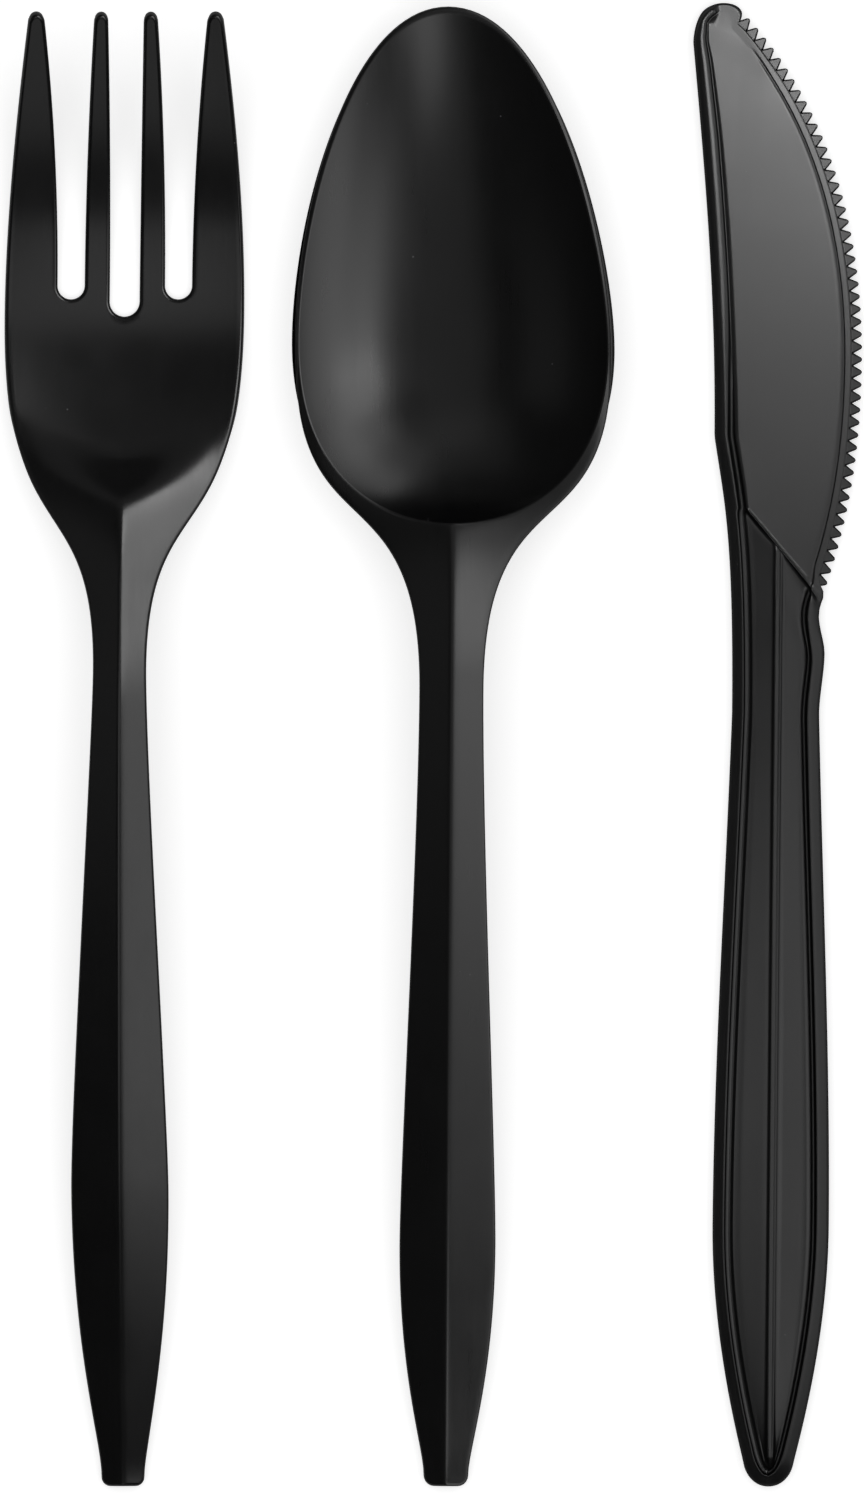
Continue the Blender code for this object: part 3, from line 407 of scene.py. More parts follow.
def makeFork(s, material):
    inset = sheet["edge"]
    length = s["length"]
    halfHead = s["headWidth"] / 2
    headAt = length - s["headFromTip"]
    outerTip = s["tipSpread"] / 2
    toHead, toTip = headAt - s["neckAt"], s["headFromTip"]
    lowerPull, upperPull = s["headPulls"]
    knots = handleSides(s)
    neck = knots[-1]
    knots[-1] = (neck[0], neck[1], (s["neckWidth"] / 2, s["neckAt"] + toHead * s["neckPull"]))
    knots.append(((halfHead, headAt), (halfHead, headAt - toHead * lowerPull),
                  (halfHead, headAt + toTip * upperPull)))
    knots.append(((outerTip, length),
                  (outerTip + toTip * s["tipFlare"], length - toTip * s["tipPull"]),
                  (outerTip, length)))
    halfWidth = widthRule(knots)
    line = heightRule([(0, sheet["wall"], sheet["endSlope"]), (s["archAt"], s["archHeight"], 0),
                       (length - s["bellyFromTip"], sheet["wall"], 0),
                       (length, s["tipHeight"], s["tipSlope"])])
    bow = heightRule(s["bow"])

    def surface(u, v):
        width = halfWidth(v)
        share = min(abs(u) / width, 1)
        start = s["facetTop"] + s["facetRise"] * share ** s["facetBow"]
        roof = 1 - ease(v, start - s["facetRun"], start)
        crown = roofHeight(s, v, width, share)
        dish = s["dish"] * share * share * (1 - roof)
        return putFork(u + bow(v), v, line(v) + crown * roof + dish)

    # tine edges from the middle out, at the roots and at the tips, less the rim's rounding
    slotEdge = halfHead - s["outerTine"]
    roots = [slotEdge - s["slot"] - s["innerTine"] + inset, slotEdge - s["slot"] - inset,
             slotEdge + inset]
    tipMiddle = (roots[0] + roots[1]) / 2 - s["innerTine"] * s["tineLean"]
    tips = [tipMiddle - s["innerTip"] / 2 + inset, tipMiddle + s["innerTip"] / 2 - inset,
            outerTip - s["outerTip"] + inset]
    radii = [roots[0], s["slot"] / 2 + inset]
    centres = [length - slot + radius - inset
               for slot, radius in zip((s["centreSlot"], s["outerSlot"]), radii)]
    slotMiddle = slotEdge - s["slot"] / 2
    diagonal = math.sqrt(0.5)
    top = length - inset
    seamEnd = headAt - toHead * s["seamFade"]

    def seam(index, v):
        slotNumber = 0 if index == 0 else 1
        middle = 0 if index == 0 else slotMiddle
        side = 1 if index in (0, 2) else -1
        centre, radius = centres[slotNumber], radii[slotNumber]
        if v >= centre:
            t = (v - centre) / (length - centre)
            return roots[index] + (tips[index] - roots[index]) * t * t
        drop = min(centre - v, radius * diagonal)
        atRoot = middle + side * math.sqrt(radius * radius - drop * drop)
        target = (halfWidth(v) - inset) * atRoot / halfHead
        return atRoot + (target - atRoot) * ease(-v, radius - centre, -seamEnd)

    inner = insetWidth(halfWidth, inset)

    turns = [math.pi / 4 * k / s["rootRows"] for k in range(1, s["rootRows"] + 1)]
    rows = spread(top - s["tipRound"], centres[1], s["tineRows"])
    rows += [centres[1] - radii[1] * math.sin(turn) for turn in turns]
    outerStart = len(rows) - 1
    if rows[-1] > centres[0]:
        rows += spread(rows[-1], centres[0], 3)[1:]
    rows += [centres[0] - radii[0] * math.sin(turn) for turn in turns
             if centres[0] - radii[0] * math.sin(turn) < rows[-1]]
    centreStart = len(rows) - 1
    rows += spread(rows[-1], s["neckAt"], s["headRows"])[1:]
    rows += spread(s["neckAt"], s["endRadius"], s["handleRows"])[1:]

    def shares(cells, ridge):
        values = [2 * k / cells - 1 for k in range(cells + 1)]
        if ridge:
            values = sorted(values + [side * a for a in s["ridgeColumns"] for side in (-1, 1)])
        across = [math.sin(math.pi / 4 * a) / diagonal for a in values]
        return across, [(math.cos(math.pi / 4 * a) - diagonal) / (1 - diagonal) for a in values]

    def patch(left, right, stations, bulge, cap, cells, ridge=False):
        # rows between two edges, the first ones bowed by bulge, under a rounded cap
        acrossShares, bulgeShares = shares(cells, ridge)
        bands = []
        if cap:
            for angle in s["capTurns"]:
                turn = math.radians(angle)
                half = (right(top) - left(top)) / 2 * math.cos(turn)
                middle = (left(top) + right(top)) / 2
                bands.append((top - s["tipRound"] * (1 - math.sin(turn)),
                              middle - half, middle + half))
        bands += [(v, left(v), right(v)) for v in stations]
        start = bands[0][0]
        grid = []
        for v, low, high in bands:
            here = bulge * max(1 - (start - v) / s["endWidth"], 0)
            middle, half = (low + high) / 2, (high - low) / 2
            grid.append([(middle + half * a, v + here * b)
                         for a, b in zip(acrossShares, bulgeShares)])
        return grid

    def mirrored(grid):
        return [[(-u, v) for u, v in row[::-1]] for row in grid]

    edges = [lambda v, k=k: seam(k, v) for k in range(3)] + [inner]
    bulge = s["tipRound"] * (1 - diagonal)
    hollows = [-radius * (1 - diagonal) for radius in radii]
    cells = s["tineCells"]
    tines = [patch(edges[0], edges[1], rows, bulge, True, cells),
             patch(edges[2], edges[3], rows, bulge, True, cells + 4)]
    root = patch(edges[1], edges[2], rows[outerStart:], hollows[1], False, cells)
    grids = tines + [mirrored(tine) for tine in tines] + [root, mirrored(root)]
    grids.append(patch(lambda v: -edges[0](v), edges[0], rows[centreStart:], hollows[0], False,
                       cells, True))
    mesh = bmesh.new()
    for grid in grids:
        last = grid[-1]
        for v, half in endCorner(s["endWidth"] / 2, s["endRadius"], inset):
            grid.append([(u * half / (s["endWidth"] / 2 - inset), v) for u, _ in last])
        addGrid(mesh, [[surface(u, v) for u, v in row] for row in grid])
    weldUpward(mesh)
    thicken(mesh, sheet["wall"] * mm, sheet["edge"] * mm, sheet["edgeSteps"])
    return addPiece("forkBody", mesh, material)


forkBody = makeFork(forkSizes, forkPlastic)
print("fork made", len(forkBody.data.polygons))


# Spoon
spoonSizes = {
    "length": layout["spoonLength"], "bowlWidth": layout["bowlWidth"],
    "bowlFromTip": layout["bowlFromTip"], "neckWidth": 7.45, "gripWidth": 11.0, "endWidth": 5.3,
    "endRadius": 1.2, "gripAt": 26.9, "neckAt": 88.6, "archAt": 90.0, "archHeight": 10.2,
    "rimHeight": 8.0, "rimSlope": -0.01, "backRise": 0.5, "backSlope": -0.08, "tipHeight": 7.4,
    "rimWidth": 0.6, "rimTilt": 0.24, "rimTurn": 0.35, "ridgeFade": (-1.5, 8.0),
    "insideLength": 57.0, "backLand": 1.6, "backTuck": 0.85, "fullness": 2.35,
    "neckLead": 16.4, "neckPull": 0.66, "bowlPulls": (0.62, 0.33), "tipPull": 0.66,
    "insidePulls": (0.58, 0.64, 0.31), "crownFade": 12,
    "bow": [(0, 0, 0), (120, 0, 0), (142, -0.4, -0.02), (164.6, -0.85, -0.02)],
    "sideCells": 84, "rings": 34, "ringReach": 0.94, "neckRows": 30, "handleRows": 110,
    "backSteps": (0, 0.02, 0.045, 0.08, 0.13, 0.2, 0.3, 0.42, 0.55, 0.7, 0.85, 1),
    "rimSteps": (0, 0.3, 0.55, 0.75, 0.9, 1)}


def makeSpoon(s, material):
    bow = heightRule(s["bow"])

    def put(u, v, z):
        return putSpoon(u + bow(v), v, z)
    inset = sheet["edge"]
    wall = sheet["wall"]
    length = s["length"]
    halfBowl = s["bowlWidth"] / 2
    bowlAt = length - s["bowlFromTip"]
    toBowl, toTip = bowlAt - s["neckAt"], s["bowlFromTip"]
    neckHalf = s["neckWidth"] / 2
    lowerPull, upperPull = s["bowlPulls"]
    knots = handleSides(s)
    knots[-1] = (knots[-1][0], (neckHalf, s["neckAt"] - s["neckLead"]),
                 (neckHalf, s["neckAt"] + toBowl * s["neckPull"]))
    knots.append(((halfBowl, bowlAt), (halfBowl, bowlAt - toBowl * lowerPull),
                  (halfBowl, bowlAt + toTip * upperPull)))
    sideWidth = widthRule(knots)
    tipArc = [knots[-1], ((0, length), (halfBowl * s["tipPull"], length), (0, length))]
    insideTop = length - s["rimWidth"]
    insideBottom = insideTop - s["insideLength"]
    halfInside = halfBowl - s["rimWidth"]
    below = bowlAt - insideBottom
    backPull, lowerPull, upperPull = s["insidePulls"]
    eggKnots = [((0, insideBottom), (0, insideBottom), (halfInside * backPull, insideBottom)),
                ((halfInside, bowlAt), (halfInside, bowlAt - below * lowerPull),
                 (halfInside, bowlAt + toTip * upperPull)),
                ((0, insideTop), (halfInside * s["tipPull"], insideTop), (0, insideTop))]
    cutAt = insideBottom - s["backLand"]
    line = heightRule([(0, wall, sheet["endSlope"]), (s["archAt"], s["archHeight"], 0),
                       (insideBottom, s["rimHeight"] + s["backRise"], s["backSlope"]),
                       (bowlAt, s["rimHeight"], s["rimSlope"]), (length, s["tipHeight"], 0)])
    fadeStart, fadeEnd = s["ridgeFade"]

    def rise(u, v):
        roof = 1 - ease(v, insideBottom + fadeStart, insideBottom + fadeEnd)
        width = sideWidth(min(v, bowlAt))
        return line(v) + roof * roofHeight(s, v, width, min(abs(u) / width, 1))

    egg = curvePoints(eggKnots, 90)
    outline = [Vector((sideWidth(v), v)) for v in spread(cutAt, bowlAt, 90)]
    outline += curvePoints(tipArc, 90)[1:]
    narrowed = insetWidth(sideWidth, inset)
    corner = narrowed(cutAt)
    outline = [Vector((corner, cutAt))] + [p for p in offsetLine(outline, inset)
                                           if p.y > cutAt + 0.1]
    outline[-1].x = 0
    steps, sideCells = s["backSteps"], s["sideCells"]
    backShare = s["backTuck"] * corner / sum((b - a).length for a, b in zip(egg, egg[1:]))
    outer = [Vector((corner * step, cutAt)) for step in steps]
    inner = [along(egg, backShare * step) for step in steps]
    for k in range(1, sideCells + 1):
        outer.append(along(outline, k / sideCells))
        inner.append(along(egg, backShare + (1 - backShare) * k / sideCells))

    def whole(half):
        # a half loop from the back to the tip, closed round the left side
        return half + [Vector((-p.x, p.y)) for p in half[1:-1]][::-1] + [half[0]]

    outerLoop, innerLoop = whole(outer), whole(inner)
    mesh = bmesh.new()
    # the rim falls outward, and flattens where it runs on to the handle
    turned = [0] * len(steps)
    turned += [ease(k, 0, sideCells * s["rimTurn"]) for k in range(1, sideCells + 1)]
    turned += turned[1:-1][::-1] + [0]
    band = []
    for share in s["rimSteps"]:
        points = []
        for p, q, tilt in zip(outerLoop, innerLoop, turned):
            fall = tilt * s["rimTilt"] * (p - q).length * (1 - share)
            points.append(put(*p.lerp(q, share), rise(*p.lerp(q, share)) - fall))
        band.append(points)
    addGrid(mesh, band)

    def ring(share):
        # the hollow, which meets the handle's roof only close to the rim
        points = []
        for p in innerLoop:
            u, v = p.x * share, bowlAt + (p.y - bowlAt) * share
            low = line(p.y)
            crown = (rise(*p) - low) * share ** s["crownFade"]
            points.append(put(u, v, wall + (low - wall) * share ** s["fullness"] + crown))
        return points
    shares = [1 - s["ringReach"] * (k / s["rings"]) ** 1.25 for k in range(s["rings"] + 1)]
    rows = addGrid(mesh, [ring(share) for share in shares])
    hub = mesh.verts.new(put(0, bowlAt, wall))
    for first, second in zip(rows[-1], rows[-1][1:]):
        mesh.faces.new((first, hub, second))
    handle = []
    ridge = sorted([-step for step in steps[1:]] + list(steps))
    stations = spread(cutAt, s["neckAt"], s["neckRows"])
    stations += spread(s["neckAt"], s["endRadius"], s["handleRows"])[1:]
    widths = [(v, narrowed(v)) for v in stations]
    widths += endCorner(s["endWidth"] / 2, s["endRadius"], inset)
    for v, half in widths:
        handle.append([put(half * k, v, rise(half * k, v)) for k in ridge])
    addGrid(mesh, handle)
    weldUpward(mesh)
    thicken(mesh, wall * mm, sheet["edge"] * mm, sheet["edgeSteps"])
    return addPiece("spoonBody", mesh, material)


spoonBody = makeSpoon(spoonSizes, spoonPlastic)
print("spoon made", len(spoonBody.data.polygons))


# Knife
knifeSizes = {
    "gripWidth": 12.95, "gripAt": 29.0, "waistWidth": 9.7, "waistAt": 86.0, "endRadius": 2.75,
    "bump": 0.55, "bumpRise": 6.7, "bolsterLeft": 108.8, "bolsterDrop": 10.5,
    "bolsterInset": 1.6, "bolsterInner": 3.05, "bolsterOuter": 4.82, "spineAt": 116.8,
    "spineOut": 7.1, "spineTipOut": 9.87, "spineRoundAt": 160.5, "spineCorner": (8.84, 164.06),
    "edgeOut": 9.25, "edgeAt": 125.5, "edgeTop": (-3.66, 163.25), "heel": (5.6, 100.5),
    "notch": (-4.8, 162.78), "heelBump": (5.33, 99.4), "heelWaist": (4.72, 97.0),
    "toothDepth": 1.05, "endArc": 0.35, "innerEndArc": 2.9, "leftTop": 163.3,
    "innerLeftTop": 162.7, "toBead": (103, 134), "leftToTip": (163.2, 163.9),
    "rightToBlade": (98.6, 101.5), "rightToTip": (156.5, 161),
    "beadScale": [(108, 1), (150, 1), (158, 0.9), (162, 0.72), (164.1, 0.5)],
    "panelEdge": 1.5, "panelRidge": 1.95, "undersidePanel": 0.7, "faceLeft": 2.1,
    "faceRight": 1.95, "underLeft": 0.6, "underRight": 0.97,
    "rib": [(-0.62, 0), (-0.45, 0.02), (-0.33, 0.1), (-0.2, 0.22), (-0.1, 0.26), (0.0, 0.24),
            (0.12, 0.14), (0.24, 0.09), (0.34, 0.12), (0.44, 0.2), (0.54, 0.17), (0.64, 0.06),
            (0.78, 0)],
    "handleRows": 150, "bladeRows": 120, "cells": 26}

# how the rim runs inward from the outline: distance in, height on top, height underneath
rimProfiles = {
    "band": [(0, 1.4, 1.4), (0.02, 1.7, 1.1), (0.06, 1.88, 0.82), (0.14, 1.98, 0.52),
             (0.34, 2.12, 0.26), (0.6, 2.3, 0.1), (0.86, 2.48, 0.01), (1.06, 2.63, 0),
             (1.2, 2.7, 0.02), (1.29, 2.64, 0.1), (1.36, 2.1, 0.3), (1.46, 1.22, 0.66),
             (2.12, 1.4, 0.7), (2.2, 1.52, 0.7), (2.35, 1.55, 0.7)],
    "rightBand": [(0, 1.4, 1.4), (0.02, 1.7, 1.1), (0.07, 1.9, 0.82), (0.16, 2.02, 0.52),
                  (0.36, 2.16, 0.26), (0.62, 2.33, 0.1), (0.9, 2.52, 0.01), (1.16, 2.68, 0),
                  (1.34, 2.74, 0.02), (1.44, 2.62, 0.1), (1.5, 2.1, 0.3), (1.6, 1.36, 0.66),
                  (1.86, 1.3, 0.7), (1.94, 1.46, 0.7), (2.05, 1.55, 0.7)],
    "bead": [(0, 1.4, 1.4), (0.02, 1.75, 1.1), (0.06, 2.0, 0.82), (0.12, 2.12, 0.52),
             (0.3, 2.25, 0.26), (0.48, 2.37, 0.1), (0.64, 2.47, 0.03), (0.8, 2.54, 0),
             (1.05, 2.57, 0), (1.35, 2.54, 0.04), (1.6, 2.48, 0.14), (1.76, 2.41, 0.3),
             (1.85, 2.1, 0.52), (1.95, 2.0, 0.6), (2.06, 2.1, 0.6)],
    "tip": [(0, 1.46, 1.46), (0.02, 1.6, 1.32), (0.05, 1.74, 1.18), (0.1, 1.87, 1.05),
            (0.16, 1.95, 0.97), (0.22, 1.99, 0.93), (0.3, 2.0, 0.92)]
           + [(d / 10, 2.0, 0.92) for d in range(4, 12)],
    "strip": [(0, 1.46, 1.46), (0.02, 1.64, 1.28), (0.05, 1.8, 1.12), (0.1, 1.91, 1.03),
              (0.18, 1.94, 1.0), (0.32, 1.955, 0.99), (0.46, 1.965, 0.97), (0.6, 1.98, 0.94),
              (0.7, 1.99, 0.92), (0.78, 2.0, 0.9), (0.84, 2.0, 0.88), (0.89, 1.93, 0.87),
              (0.95, 1.82, 0.93), (1.05, 1.9, 0.97), (1.2, 1.95, 0.97)]}

# the bolster's rows: distance up from the slanted line, share of the blade, height of the lip
bolsterRows = [(-0.78, 0, 0), (-0.64, 0.05, 0), (-0.46, 0.22, 0), (-0.26, 0.5, 0),
               (-0.11, 0.82, 0.02), (-0.04, 0.97, 0.08), (0.01, 1, 0.15), (0.07, 1, 0.16),
               (0.13, 1, 0.1), (0.2, 1, 0), (0.6, 1, 0)]


def knifeOutline(s):
    # left side from the handle's end to the tip, right side up through the heel and the
    # tooth valleys to the first notch, the blunt tip between them, and the line of tooth tips
    grip, waist, radius = s["gripWidth"] / 2, s["waistWidth"] / 2, s["endRadius"]
    swell, taper = s["gripAt"] * 0.45, (s["waistAt"] - s["gripAt"]) / 3
    handle = [((0, 0), (0, 0), (radius * 0.6, 0)),
              ((radius, radius * 0.88), (radius * 0.92, radius * 0.5),
               (radius * 1.12, radius * 1.5)),
              ((grip, s["gripAt"]), (grip, s["gripAt"] - swell), (grip, s["gripAt"] + taper))]
    waistKnot = ((waist, s["waistAt"]), (waist + s["bump"], s["waistAt"] - taper))
    bumpAt = s["waistAt"] + s["bumpRise"]
    out = waist + s["bump"]
    (heelU, heelV), (notchU, notchV) = s["heelWaist"], s["notch"]
    (apexU, apexV) = s["heelBump"]
    right = curvePoints(handle + [
        waistKnot + ((waist, s["waistAt"] + 2),),
        ((out, bumpAt), (out, bumpAt - 2), (out, bumpAt + 1.4)),
        ((heelU, heelV), (heelU, heelV - 1.5), (heelU, heelV + 0.9)),
        ((apexU, apexV), (apexU - 0.04, apexV - 0.3), (apexU, apexV + 0.1))], 40)
    shoulder = (s["spineAt"] - s["waistAt"]) / 2
    pull = (s["spineRoundAt"] - s["spineAt"]) * 0.35
    left = curvePoints(handle + [
        waistKnot + ((waist, s["waistAt"] + shoulder * 1.3),),
        ((s["spineOut"], s["spineAt"]),
         ((waist + s["spineOut"]) / 2, s["spineAt"] - shoulder * 0.47),
         (s["spineOut"], s["spineAt"] + shoulder)),
        ((s["spineTipOut"], s["spineRoundAt"]),
         (s["spineTipOut"] - 0.1 * pull, s["spineRoundAt"] - pull),
         (s["spineTipOut"], s["spineRoundAt"] + 1.6)),
        (s["spineCorner"], (9.35, 163.5), s["spineCorner"])], 60)
    left = [Vector((-p.x, p.y)) for p in left]
    widest = s["edgeAt"]
    upper, lower = s["edgeTop"][1] - widest, widest - s["heel"][1]
    (topU, topV), (lastU, lastV) = s["edgeTop"], s["heel"]
    tips = curvePoints([
        ((topU, topV), (0, 0), (topU + upper * 0.25, topV - upper * 0.276)),
        ((s["edgeOut"], widest), (s["edgeOut"], widest + upper * 0.36),
         (s["edgeOut"], widest - lower * 0.36)),
        ((lastU, lastV), (lastU + lower * 0.108, lastV + lower * 0.33), (0, 0))], 90)
    valleys = [p for p in offsetLine(tips, -s["toothDepth"])[::-1]
               if apexV + 1.2 < p.y < notchV - 0.4]
    right += valleys + [Vector((notchU, notchV))]
    tip = curvePoints([
        ((notchU, notchV), (0, 0), (notchU + 0.2, notchV + 0.35)),
        ((-4.46, 163.85), (-4.44, 163.5), (-4.47, 164.15)),
        ((-5.1, 164.7), (-4.75, 164.5), (-5.5, 164.92)),
        ((-6.6, 165.0), (-6.1, 165.02), (-7.3, 165.0)),
        ((-8.84, 164.06), (-8.25, 164.7), (0, 0))], 16)
    return left, right, tip, tips


def mix(first, second, share):
    return tuple(x + (y - x) * share for x, y in zip(first, second))


def blend(first, second, share):
    return [mix(p, q, share) for p, q in zip(first, second)]


def innerLine(line, depth, side):
    # the line moved inward by a depth that changes with v
    moved = []
    for i, point in enumerate(line):
        before, after = line[max(i - 3, 0)], line[min(i + 3, len(line) - 1)]
        run = (after - before).normalized()
        moved.append(point + Vector((-run.y, run.x)) * side * depth(point.y))
    return moved


def atV(line, v):
    for low, high in zip(line, line[1:]):
        if low.y <= v <= high.y and high.y > low.y:
            return low.lerp(high, (v - low.y) / (high.y - low.y))
    return line[-1].copy() if v > line[-1].y else line[0].copy()


def makeKnife(s, material):
    left, right, tip, tips = knifeOutline(s)
    bolsterSlope = s["bolsterDrop"] / (s["waistWidth"] - s["bolsterInset"])
    leftEnd = s["bolsterInset"] - s["waistWidth"] / 2

    def bolster(u):
        return s["bolsterLeft"] - bolsterSlope * (u - leftEnd)

    beadScale = lineRule(s["beadScale"])

    def leftRim(v, blade):
        # the band and its groove narrow into the bead, while the panel ends at the bolster
        toBead = ease(v, *s["toBead"])
        scale = beadScale(v)
        rim = []
        for i, (p, q) in enumerate(zip(rimProfiles["band"], rimProfiles["bead"])):
            depth, high, low = mix(p, q, toBead + (blade - toBead) * ease(i, 12, 14))
            rim.append((depth * scale, high, low))
        return blend(rim, rimProfiles["tip"], ease(v, *s["leftToTip"]))

    def rightRim(v, blade):
        rim = blend(rimProfiles["rightBand"], rimProfiles["strip"], blade)
        return blend(rim, rimProfiles["tip"], ease(v, *s["rightToTip"]))

    innerLeft = innerLine(left, lambda v: leftRim(v, ease(v, *s["toBead"]))[-1][0], -1)
    innerRight = innerLine(right, lambda v: rightRim(v, ease(v, *s["rightToBlade"]))[-1][0], 1)
    innerLeft = [p for p in innerLeft if p.y <= s["innerLeftTop"]]
    innerRight = [p for p in innerRight if p.y <= s["notch"][1]]

    # rows from the handle's end to the bolster and on to the tip: the height along each of
    # the four lines, the share of the blade and the lip
    leftAt = s["bolsterLeft"]
    slant = (leftAt, leftAt, bolster(s["bolsterInner"]), bolster(s["bolsterOuter"]))
    ends = (s["endArc"], s["innerEndArc"], s["innerEndArc"], s["endArc"])
    tops = (s["leftTop"], s["innerLeftTop"], innerRight[-1].y, s["notch"][1])
    before = [v + bolsterRows[0][0] for v in slant]
    after = [v + bolsterRows[-1][0] for v in slant]
    rows = [mix(ends, before, (k / s["handleRows"]) ** 1.25) + (0, 0)
            for k in range(s["handleRows"])]
    rows += [tuple(v + lift for v in slant) + (share, lip) for lift, share, lip in bolsterRows]
    for k in range(1, s["bladeRows"] + 1):
        t = k / s["bladeRows"]
        rows.append(mix(after, tops, t * (1.35 - 0.35 * t)) + (1, 0))

    def across(outer, inner, rim, lip=0):
        deep = rim[-1][0]
        return [(outer.lerp(inner, d / deep), high + lip * ease(d / deep, 0, 0.4), low)
                for d, high, low in rim]

    leftStations, rightStations = [], []
    for vLeft, vInLeft, vInRight, vRight, blade, lip in rows:
        leftStations.append(across(atV(left, vLeft), atV(innerLeft, vInLeft),
                                   leftRim(vLeft, blade)))
        rightStations.append(across(atV(right, vRight), atV(innerRight, vInRight),
                                    rightRim(vRight, blade), lip * 0.6))

    cells = s["cells"]

    def arc(outer, inner, rims):
        return [across(along(outer, k / cells), along(inner, k / cells), rim)
                for k, rim in enumerate(rims)]

    def below(line, v):
        return [p for p in line if p.y < v] + [atV(line, v)]

    endOuter = below(left, s["endArc"])[::-1] + below(right, s["endArc"])[1:]
    endInner = below(innerLeft, s["innerEndArc"])[::-1] + below(innerRight, s["innerEndArc"])[1:]
    endStations = arc(endOuter, endInner,
                      [blend(rimProfiles["band"], rimProfiles["rightBand"],
                             ease(k / cells, 0.3, 0.7)) for k in range(cells + 1)])
    endStations[0], endStations[-1] = leftStations[0], rightStations[0]

    topRight, topLeft = rightStations[-1], leftStations[-1]
    tipOuter = tip[:-1] + [p for p in left[::-1] if p.y > s["leftTop"]] + [topLeft[0][0]]
    start, end = topRight[-1][0], topLeft[-1][0]
    tipInner = curvePoints([(start, start, start + Vector((0.15, 1.2))),
                            ((-6.5, 164.0), (-5.9, 164.05), (-7.1, 163.95)),
                            (end, end + Vector((0.25, 0.55)), end)], 20)

    def measured(station):
        return [((point - station[0][0]).length, high, low) for point, high, low in station]

    rims = []
    for k in range(cells + 1):
        rim = blend(measured(topRight), rimProfiles["tip"], ease(k / cells, 0, 0.15))
        rims.append(blend(rim, measured(topLeft), ease(k / cells, 0.62, 0.74)))
    tipStations = arc(tipOuter, tipInner, rims)
    tipStations[0], tipStations[-1] = topRight, topLeft

    loop = endStations[:-1] + rightStations[:-1] + tipStations[:-1] + leftStations[:0:-1]
    loop.append(endStations[0])
    mesh = bmesh.new()
    for level in (1, 2):
        addGrid(mesh, [[putKnife(*point[0], point[level]) for point in station]
                       for station in loop])

    ribColumns = [u for u, _ in s["rib"]]
    rib = lineRule(s["rib"])
    sideCells = (cells - len(ribColumns) + 1) // 2

    def columns(a, b, shareBlade):
        # u of the inside columns, gathered at the rib on the handle and even on the blade
        plain = [a + (b - a) * k / cells for k in range(cells + 1)]
        low, high = max(ribColumns[0], a * 0.8), min(ribColumns[-1], b * 0.8)
        gathered = [a + (low - a) * k / sideCells for k in range(sideCells)]
        gathered += [low + (high - low) * (r - ribColumns[0]) / (ribColumns[-1] - ribColumns[0])
                     for r in ribColumns]
        gathered += [high + (b - high) * k / sideCells for k in range(1, sideCells + 1)]
        return [g + (p - g) * shareBlade for g, p in zip(gathered, plain)]

    def innerEnds(stations, level):
        return [putKnife(*station[-1][0], station[-1][level]) for station in stations]

    inside, under = [innerEnds(endStations, 1)], [innerEnds(endStations, 2)]
    handleCount = s["handleRows"] + len(bolsterRows)
    sides = list(zip(rows, leftStations, rightStations))
    for i, (row, leftSide, rightSide) in enumerate(sides[1:], 1):
        a, leftHigh, leftLow = leftSide[-1]
        b, rightHigh, rightLow = rightSide[-1]
        blade, lip = row[4:]
        toFace = ease(i, handleCount - 20, handleCount + 6)
        high, low = [], []
        for k, u in enumerate(columns(a.x, b.x, ease(i, handleCount, handleCount + 30))):
            share = (u - a.x) / (b.x - a.x)
            point = a.lerp(b, share)
            crown = 1 - abs(2 * share - 1)
            ribbed = rib(u) * ease(point.y, 2.0, 3.0)
            panel = s["panelEdge"] + (s["panelRidge"] - s["panelEdge"]) * crown + ribbed
            face = s["faceLeft"] + (s["faceRight"] - s["faceLeft"]) * share
            lowFace = s["underLeft"] + (s["underRight"] - s["underLeft"]) * share
            if i > handleCount:
                face = leftHigh + (rightHigh - leftHigh) * share
                lowFace = leftLow + (rightLow - leftLow) * share
            z = panel + (face - panel) * blade + lip * ease(share, 0, 0.05)
            bottom = s["undersidePanel"] + (lowFace - s["undersidePanel"]) * toFace
            if k == 0:
                z, bottom = leftHigh, leftLow
            if k == cells:
                z, bottom = rightHigh, rightLow
            high.append(putKnife(point.x, point.y, z))
            low.append(putKnife(point.x, point.y, bottom))
        inside.append(high)
        under.append(low)
    inside.append(innerEnds(tipStations[::-1], 1))
    under.append(innerEnds(tipStations[::-1], 2))
    addGrid(mesh, inside)
    addGrid(mesh, under)
    bmesh.ops.remove_doubles(mesh, verts=mesh.verts, dist=0.002 * mm)
    bmesh.ops.recalc_face_normals(mesh, faces=mesh.faces)
    return addPiece("knifeBody", mesh, material), tips


knifeBody, toothTips = makeKnife(knifeSizes, knifePlastic)
print("knife made", len(knifeBody.data.polygons))


# Teeth: one blunt wedge set out along the line of tooth tips
toothSizes = {"count": 48, "depth": 1.05, "root": 0.3, "height": 0.44, "tipHeight": 0.29,
              "tipHalf": 0.18, "lean": 1.14, "level": 1.46, "halfPitch": 0.75, "chamfer": 0.2}


